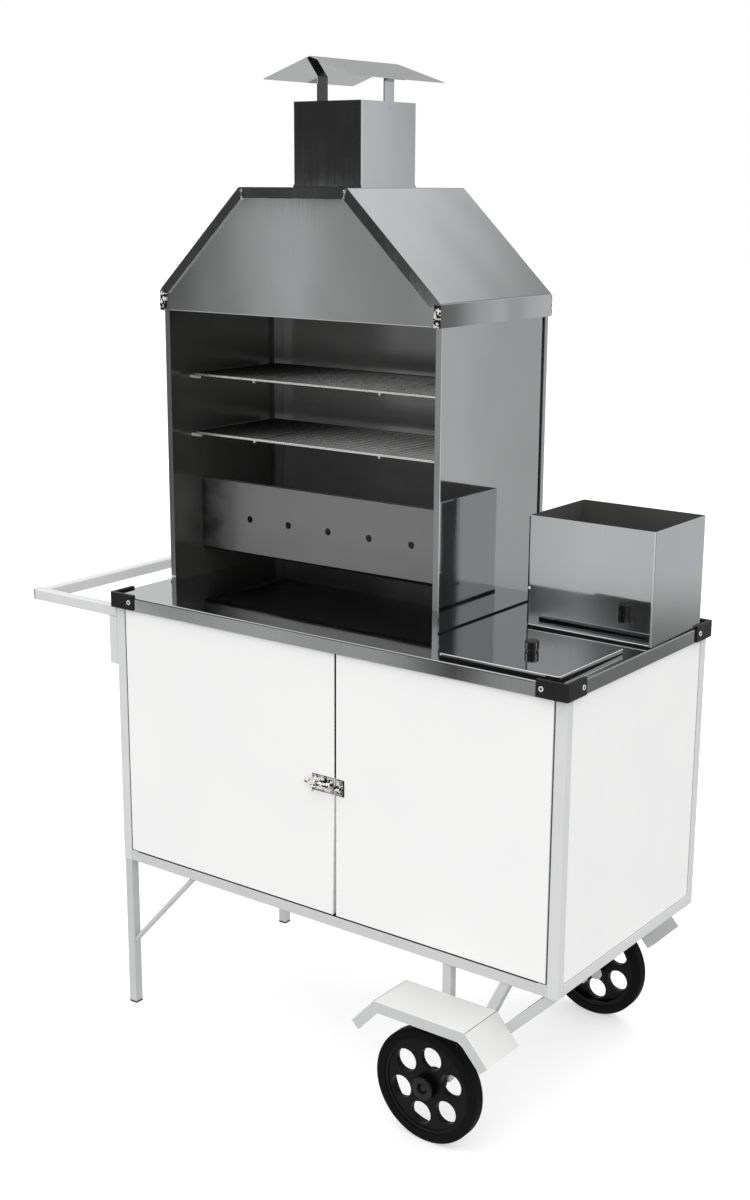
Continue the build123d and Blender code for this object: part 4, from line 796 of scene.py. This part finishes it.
# Black and bright patches on the tabs paint the glints of crumpled steel
put_shape("hood_corner_tabs", tabs, patchy_nickel("crumpled_steel_painted_glints", 0.51), "cart")

# Skirts: thin outer strips that have sprung along their length
STRIP_T = 0.0003
STRIP_SHORT = 0.0015
STRIP_STEPS = 16
foot_z, head_z = hood_low[2], hood_low[2] + SKIRT_RISE - STRIP_SHORT
strips = bmesh.new()
for side_x, out in ((hood_low[0], -1.0), (hood_high[0], 1.0)):
    rings = []
    for i in range(STRIP_STEPS + 1):
        y = hood_low[1] + (hood_high[1] - hood_low[1]) * i / STRIP_STEPS
        rings.append([strips.verts.new((side_x + out * proud, y, z)) for proud, z in (
            (0.0, foot_z), (STRIP_T, foot_z), (STRIP_T, head_z), (0.0, head_z))])
    close_rings(strips, rings)
put_shape("hood_skirts", strips, mirror_steel("sprung_stainless", bow=0.2), "cart")

# Rolled hems along the hood's end sheets and along the gables of the chimney cap
HEM_R = 0.001
CAP_HEM_R = 0.0007
hems = []
for node in ("hood_front", "hood_back"):
    low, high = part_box(node)
    hems.append([(x, 0.5 * (low[1] + high[1]), low[2]) for x in (low[0] + RIM_W, high[0] - RIM_W)])
put_wire("hood_hems", hems, HEM_R, plain_steel, "cart")
low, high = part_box("chimney_cap")
cap_mid = middle_of("chimney_cap")[0]
eaves_z, ridge_z = low[2] + CAP_HEM_R, high[2] - CAP_HEM_R
gables = [[(low[0], y, eaves_z), (cap_mid, y, ridge_z), (high[0], y, eaves_z)] for y in (low[1], high[1])]
put_wire("cap_hems", gables, CAP_HEM_R, plain_steel, "cart")

# Flue collar: a folded strip that hides the joint of flue and hood
COLLAR_H = 0.004
COLLAR_T = 0.0012
COLLAR_BEND = 0.001
low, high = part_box("chimney")
collar = bmesh.new()
add_band(collar, (low[0], low[1], hood_high[2]), (high[0], high[1], hood_high[2] + COLLAR_H), COLLAR_T,
         COLLAR_BEND)
put_shape("flue_collar", collar, plain_steel, "cart")

# Oven: a black band of painted shadow round its foot, and covers over the gaps in its rear corners
FOOT_SHADOW_H = 0.0024
FOOT_SHADOW_T = 0.0012
COVER_T = 0.0004
COVER_W = 0.0064
COVER_IN = 0.0012
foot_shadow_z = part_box("worktop")[1][2]
oven_low, oven_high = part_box("oven_wall_left")[0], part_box("oven_back")[1]
runs = (((oven_low[0] - FOOT_SHADOW_T, oven_low[1]), (oven_low[0], oven_high[1])),
        ((oven_high[0], oven_low[1]), (oven_high[0] + FOOT_SHADOW_T, oven_high[1])),
        ((oven_low[0] - FOOT_SHADOW_T, oven_high[1]), (oven_high[0] + FOOT_SHADOW_T, oven_high[1] + FOOT_SHADOW_T)))
# Black band of painted shadow at the oven's foot
put_blocks("oven_seal", [((*low, foot_shadow_z), (*high, foot_shadow_z + FOOT_SHADOW_H)) for low, high in runs],
           dark_recess, "cart")
cover_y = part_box("oven_back")[0][1]
covers = []
for x in (oven_low[0] + COVER_IN, oven_high[0] - COVER_IN - COVER_W):
    covers.append(((x, cover_y - COVER_T, oven_low[2]), (x + COVER_W, cover_y, oven_high[2])))
put_blocks("oven_corner_covers", covers, own_finishes["oven_wall_left"], "cart")

# Lid and bin: pale wires on their edges as painted highlights, and black bands of painted shadow in the gaps
# under them, thin at one corner. A band's heights are at the front left, front right, rear right and rear
# left.
EDGE_R = 0.0007
SHADOW_LIFT = 0.0001
LID_CORNER = 0.004
BIN_CORNER = 0.0038
BIN_HEM_OUT = 0.0008
BIN_HEM_H = 0.004
low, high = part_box("lid")
front_and_right = slice(CORNER_STEPS, 2 * CORNER_STEPS + 3)
lid_edge = [(x, y, high[2] - EDGE_R) for x, y in round_path(low, high, LID_CORNER)[front_and_right]]
# Painted highlight along the lid's front and right top edges
put_wire("lid_edge_highlight", [lid_edge], EDGE_R, pale_zinc_and_highlight, "lid")
# Black bands of painted shadow in the gaps under the lid and the bin
for node, body, wall, corner, tops in (
        ("lid", "lid", 0.0004, LID_CORNER, (0.004, 0.004, 0.001, 0.004)),
        ("bin_box", "bin", 0.0002, BIN_CORNER, (0.0038, 0.0016, 0.0036, 0.0038))):
    low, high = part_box(node)
    shadow_band = bmesh.new()
    add_band(shadow_band, (low[0], low[1], low[2] + SHADOW_LIFT), high, wall, corner, [low[2] + top for top in tops])
    put_shape(body + "_seal", shadow_band, dark_recess, body)
bin_low, bin_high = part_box("bin_box")
bin_edge = [(x, bin_low[1] + 0.5 * BIN_HEM_OUT, bin_low[2] + BIN_HEM_H)
            for x in (bin_low[0] + BIN_CORNER, bin_high[0] - BIN_CORNER)]
# Painted highlight along the bin's lower front edge
put_wire("bin_base_highlight", [bin_edge], EDGE_R, pale_zinc_and_highlight, "bin")

# Dark strip on the bin's left side along its front edge, painted shade; the oven's right wall mirrors it
SHADE_STRIP_W = 0.037
SHADE_STRIP_T = 0.0003
SHADE_STRIP_DOWN = 0.002
shade_x, shade_y = bin_low[0] + BIN_HEM_OUT, bin_low[1] + BIN_HEM_OUT
put_blocks("bin_side_shade", [((shade_x - SHADE_STRIP_T, shade_y, bin_low[2] + BIN_HEM_H),
                        (shade_x, shade_y + SHADE_STRIP_W, bin_high[2] - SHADE_STRIP_DOWN))],
           blackened_steel("painted_shade_strip", "4c4c4d", "707071"), "bin")

# Dark line of painted shadow under the rolled front edge of the worktop
EDGE_SHADOW_R = 0.0004
EDGE_SHADOW_DOWN = 0.0024
EDGE_SHADOW_IN = 0.03
low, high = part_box("worktop")
edge_shadow = [(x, low[1], high[2] - EDGE_SHADOW_DOWN) for x in (low[0] + EDGE_SHADOW_IN, high[0] - EDGE_SHADOW_IN)]
put_wire("worktop_edge_shadow", [edge_shadow], EDGE_SHADOW_R, dark_recess, "cart")

# Beads of sealant round the fixed panels, on the face of each that looks outwards
BEAD_R = 0.0006
beads = []
for node, axis, end in (("panel_left", 0, 0), ("panel_right", 0, 1), ("panel_back", 1, 1)):
    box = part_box(node)
    loop = []
    for side, z in ((0, box[0][2]), (1, box[0][2]), (1, box[1][2]), (0, box[1][2])):
        spot = [box[side][0], box[side][1], z]
        spot[axis] = box[end][axis]
        loop.append(tuple(spot))
    beads.append(loop)
put_wire("panel_sealant", beads, BEAD_R, grey_sealant_and_gap_shade, "cart", True)

# Lug on the foot of the rear struts, beside the axle; its round ends are at these X and Z
LUG_R = 0.0115
LUG_T = 0.006
LUG_EDGE = 0.001
LUG_STEPS = 10
LUG_ENDS = ((0.393, 0.101), (0.380, 0.120))
lug_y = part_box("struts_upright")[1][1]
lug_lean = math.atan2(LUG_ENDS[0][1] - LUG_ENDS[1][1], LUG_ENDS[0][0] - LUG_ENDS[1][0])
lug = bmesh.new()
rings = []
for y, radius in ((0.0, LUG_R - LUG_EDGE), (LUG_EDGE, LUG_R), (LUG_T - LUG_EDGE, LUG_R),
                  (LUG_T, LUG_R - LUG_EDGE)):
    ring = []
    for (x, z), turned in zip(LUG_ENDS, (lug_lean - 0.5 * math.pi, lug_lean + 0.5 * math.pi)):
        for i in range(LUG_STEPS + 1):
            angle = turned + math.pi * i / LUG_STEPS
            ring.append(lug.verts.new((x + radius * math.cos(angle), lug_y + y,
                                       z + radius * math.sin(angle))))
    rings.append(ring)
close_rings(lug, rings)
put_shape("strut_lug", lug, shaded_coat, "cart")

# Fold lines across the fenders, drawn as thin dark lines
FENDER_FLAT = 0.179
FOLD_R = 0.0004
FOLD_DOWN = 0.0001
FOLD_IN = 0.001
folds = []
for node in ("fender_front", "fender_rear"):
    low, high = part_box(node)
    for side in (-1.0, 1.0):
        x = middle_of(node)[0] + side * 0.5 * FENDER_FLAT
        folds.append([(x, y, high[2] - FOLD_DOWN) for y in (low[1] + FOLD_IN, high[1] - FOLD_IN)])
put_wire("fender_folds", folds, FOLD_R, dark_recess, "cart")

# Dark bands of painted shade in the gaps round the doors, which show as thin lines; the right door's is grey
GAP_SHADE_T = 0.0004
PIN_CLEAR = 0.014
SILL_IN = 0.0003
SIDE_IN = 0.0024
MEETING_IN = 0.0008
STRIP_END = 0.001
STRIP_BACK = 0.0005
rail_low, rail_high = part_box("rails_bottom_long")
left_low, left_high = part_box("door_left")
right_low, right_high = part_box("door_right")
# Painted shade in the gaps under and beside the doors
put_blocks("sill_gap_shade", [
    ((left_low[0] + PIN_CLEAR, left_low[1] + SILL_IN, rail_high[2]),
     (right_high[0] - PIN_CLEAR, left_high[1], rail_high[2] + GAP_SHADE_T)),
    ((rail_low[0], left_low[1] + SIDE_IN, rail_high[2] + STRIP_END),
     (rail_low[0] + GAP_SHADE_T, left_high[1], left_high[2]))], dark_recess, "cart")
for door, finish, inset, foot_z in (("door_left", dark_recess, MEETING_IN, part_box("latch_plate")[1][2]),
                                    ("door_right", grey_sealant_and_gap_shade, SIDE_IN, right_low[2])):
    low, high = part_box(door)
    put_blocks(door + "_strip", [((high[0], low[1] + inset, foot_z + STRIP_END),
                                  (high[0] + GAP_SHADE_T, high[1] - STRIP_BACK, high[2] - STRIP_END))],
               finish, door)

# Bolt head at the bin's front left edge
BOLT_IN = 0.0035
BOLT_UP = 0.067
bolt_foot = (bin_low[0] + BOLT_IN, bin_low[1] + BIN_HEM_OUT, bin_low[2] + BOLT_UP)
grow("bin_bolt_head", feet_mesh("bin_bolt_place", [(bolt_foot, (0.0, -1.0, 0.0))]),
     ringed_heads("bin_bolt", pale_zinc_and_highlight),
     {"Head radius": 0.0026, "Head height": 0.0016, "Ring radius": 0.0013}, "bin")

# Split pins through the axle's ends, whose lower ends are spread
PIN_R = 0.0009
PIN_LONG = 0.0085
PIN_BEND = 0.8
PIN_IN = 0.0012
PIN_APART = 0.0007
PIN_SPREAD = 0.003
low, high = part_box("axle")
axle_x, _, axle_z = middle_of("axle")
pins = []
for y in (low[1] + PIN_IN, high[1] - PIN_IN):
    for side in (-1.0, 1.0):
        pins.append([(axle_x + side * PIN_APART, y, axle_z + PIN_LONG),
                     (axle_x + side * PIN_APART, y, axle_z - PIN_BEND * PIN_LONG),
                     (axle_x + side * PIN_SPREAD, y, axle_z - PIN_LONG)])
put_wire("axle_split_pins", pins, PIN_R, finishes["axle_steel"], "cart")

# Floor: a wide pale sheet that runs to the horizon
FLOOR_HALF = 30.0
floor_mesh = bpy.data.meshes.new("studio_floor")
corners = [(-FLOOR_HALF, -FLOOR_HALF, 0), (FLOOR_HALF, -FLOOR_HALF, 0),
           (FLOOR_HALF, FLOOR_HALF, 0), (-FLOOR_HALF, FLOOR_HALF, 0)]
floor_mesh.from_pydata(corners, [], [(0, 1, 2, 3)])
floor = bpy.data.objects.new("studio_floor", floor_mesh)
bpy.context.scene.collection.objects.link(floor)
# Matt paper: white, and lit a little from behind so that the shadow on it stays faint.
floor_paper = new_finish("white_studio_paper", {"Base Color": linear("d0d0d0"), "Roughness": 0.9,
                                                "Emission Color": linear("ffffff"),
                                                "Emission Strength": 0.45})[0]
floor_mesh.materials.append(floor_paper)
floor.visible_glossy = False
floor.visible_diffuse = False

# Studio surroundings: soft white to the eye and to matt surfaces, brighter from above. Polished steel mirrors
# a dark room in front, pale walls behind and a floor that is bright in places. Each band of height has its
# brightness by bearing, in degrees from +X. The band before gives way to it between two heights of the ray.
SKY_LEVELS = (0.95, 2.0)
FLOOR_LEVEL = 0.74
HORIZON = (-0.1, 0.05)
FRONT_LIGHT = (0.12, -0.17, 0.0)
LAMPS = ((-152, 6.0), (-144, 6.0), (16, 6.0), (24, 6.0))
WALLS_TOP = ((-180, 0.4), (-156, 0.3), (-140, 0.3), (-131, 0.5), (-118.9, 0.55), (-118.5, 0.02),
             (-115, 0.08), (-110, 0.3), (-70, 0.12), (-35, 0.12), (-10, 0.8), (12, 0.8), (28, 0.5),
             (87, 0.34), (122.5, 0.46), (134, 0.7), (150, 0.7), (180, 0.4))
BANDS = (
    ("floor_at_foot", None, (
        (-180, 0.35), (-150, 0.4), (-132, 0.84), (-110, 0.9), (0, 0.6), (60, 0.5), (118, 0.58), (180, 0.35))),
    ("floor_close_by", (-0.36, -0.32), (
        (-180, 0.4), (-134.6, 0.8), (-133.2, 0.3), (-131.6, 0.57), (-130, 0.42), (-125.4, 0.42),
        (-124.6, 0.0), (-123.8, 0.04), (-122.4, 0.36), (-118, 0.3), (-80, 0.35), (-64, 0.08), (-42, 0.08),
        (-25, 0.7), (10, 0.3), (40, 0.4), (63, 0.21), (80, 0.7), (97, 0.3), (118, 0.55), (140, 0.3),
        (160, 0.7), (180, 0.4))),
    ("floor_far_off", (-0.27, -0.215), (
        (-180, 0.4), (-138, 0.05), (-134.6, 0.05), (-132.7, 0.22), (-131, 0.39), (-129.2, 0.53),
        (-127.5, 0.34), (-125.5, 0.3), (-122, 0.5), (-119.5, 0.7), (-110, 0.5), (-70, 0.9), (0, 0.9),
        (36, 0.14), (47, 0.18), (53, 0.5), (56, 0.57), (58.4, 0.44), (61, 0.56), (63.9, 0.62), (75, 0.6),
        (88, 0.85), (103, 0.4), (118, 0.5), (150, 0.75), (180, 0.4))),
    ("walls_low", (-0.012, -0.003), (
        (-180, 0.3), (-142, 0.06), (-128, 0.035), (-110, 0.05), (-70, 0.8), (0, 0.8), (50, 0.75),
        (53.1, 0.72), (54.3, 0.5), (56, 0.5), (58.5, 0.75), (62, 0.7), (90, 0.6), (135, 0.5), (180, 0.3))),
    ("walls_high", (0.1, 0.2), (
        (-180, 0.4), (-142, 0.3), (-128, 0.24), (-123.5, 0.16), (-122.5, 0.02), (-121, 0.03), (-120.4, 0.44),
        (-119.7, 0.46), (-119.2, 0.02), (-116, 0.06), (-110, 0.16), (-70, 0.12), (-35, 0.12), (-10, 0.8),
        (30, 0.5), (87, 0.34), (122.5, 0.46), (134, 0.7), (150, 0.7), (180, 0.4))),
    ("lamps", (0.253, 0.262), sorted(WALLS_TOP + LAMPS)),
    ("walls_top", (0.33, 0.36), WALLS_TOP),
    ("ceiling", (0.5, 0.6), ((-180, 1.0), (-128, 0.9), (0, 1.0), (87, 0.8), (134, 0.9), (180, 1.0))),
)
world = bpy.data.worlds.new("studio")
world.use_nodes = True
bpy.context.scene.world = world
tree = world.node_tree
tree.nodes.clear()
aim = add(tree, "ShaderNodeTexCoord").outputs["Generated"]
axes = add(tree, "ShaderNodeSeparateXYZ", {}, {0: aim}).outputs
rays = add(tree, "ShaderNodeLightPath").outputs
bearing = add(tree, "ShaderNodeMath", {}, {0: axes["Y"], 1: axes["X"]}, operation="ARCTAN2")
round_about = add(tree, "ShaderNodeMapRange", {"From Min": -math.pi, "From Max": math.pi},
                  {"Value": bearing})
mirrored_light = None
for name, change, levels in BANDS:
    band = add(tree, "ShaderNodeValToRGB", {}, {0: round_about}, name=name)
    band.color_ramp.interpolation = "EASE"
    while len(band.color_ramp.elements) < len(levels):
        band.color_ramp.elements.new(1.0)
    for stop, (degrees, level) in zip(band.color_ramp.elements, levels):
        stop.position = (degrees + 180) / 360
        stop.color = (level, level, level, 1.0)
    if mirrored_light is None:
        mirrored_light = band
        continue
    height = add(tree, "ShaderNodeMapRange", {"From Min": change[0], "From Max": change[1]},
                 {"Value": axes["Z"]}, interpolation_type="SMOOTHSTEP")
    mirrored_light = add(tree, "ShaderNodeMix", {}, {0: height, 6: mirrored_light, 7: band},
                         data_type="RGBA").outputs[2]
squared = add(tree, "ShaderNodeMath", {}, {0: axes["Z"], 1: axes["Z"]}, operation="MULTIPLY")
sky = add(tree, "ShaderNodeMapRange", {"To Min": SKY_LEVELS[0], "To Max": SKY_LEVELS[1]}, {"Value": squared})
turned = add(tree, "ShaderNodeVectorMath", {1: FRONT_LIGHT}, {0: aim}, operation="DOT_PRODUCT")
forward = add(tree, "ShaderNodeMath", {0: 1.0}, {1: turned.outputs["Value"]}, operation="ADD")
soft_sky = add(tree, "ShaderNodeMath", {}, {0: sky, 1: forward}, operation="MULTIPLY")
upward = add(tree, "ShaderNodeMapRange", {"From Min": HORIZON[0], "From Max": HORIZON[1]},
             {"Value": axes["Z"]})
overhead = add(tree, "ShaderNodeMix", {2: FLOOR_LEVEL}, {0: upward, 3: soft_sky}, data_type="FLOAT")
backdrop = add(tree, "ShaderNodeMix", {3: 1.0}, {0: rays["Is Camera Ray"], 2: overhead}, data_type="FLOAT")
soft_white = add(tree, "ShaderNodeBackground", {"Color": linear("ffffff")}, {"Strength": backdrop})
mirrored = add(tree, "ShaderNodeBackground", {"Strength": 1.0}, {"Color": mirrored_light})
choice = add(tree, "ShaderNodeMixShader", {}, {0: rays["Is Glossy Ray"], 1: soft_white, 2: mirrored})
add(tree, "ShaderNodeOutputWorld", {}, {"Surface": choice})

# Camera, at the photograph's view
eye = bpy.data.cameras.new("photograph_view")
eye.lens = CAMERA_LENS
eye.sensor_width = SENSOR_W
camera = bpy.data.objects.new("photograph_view", eye)
turn = Matrix.Rotation(math.radians(CAMERA_YAW), 4, "Z")
tip = Matrix.Rotation(math.radians(90 - CAMERA_PITCH), 4, "X")
roll = Matrix.Rotation(math.radians(CAMERA_ROLL), 4, "Z")
camera.matrix_world = Matrix.Translation(CAMERA_PLACE) @ turn @ tip @ roll
bpy.context.scene.collection.objects.link(camera)
bpy.context.scene.camera = camera
bpy.context.scene.view_settings.view_transform = "Standard"
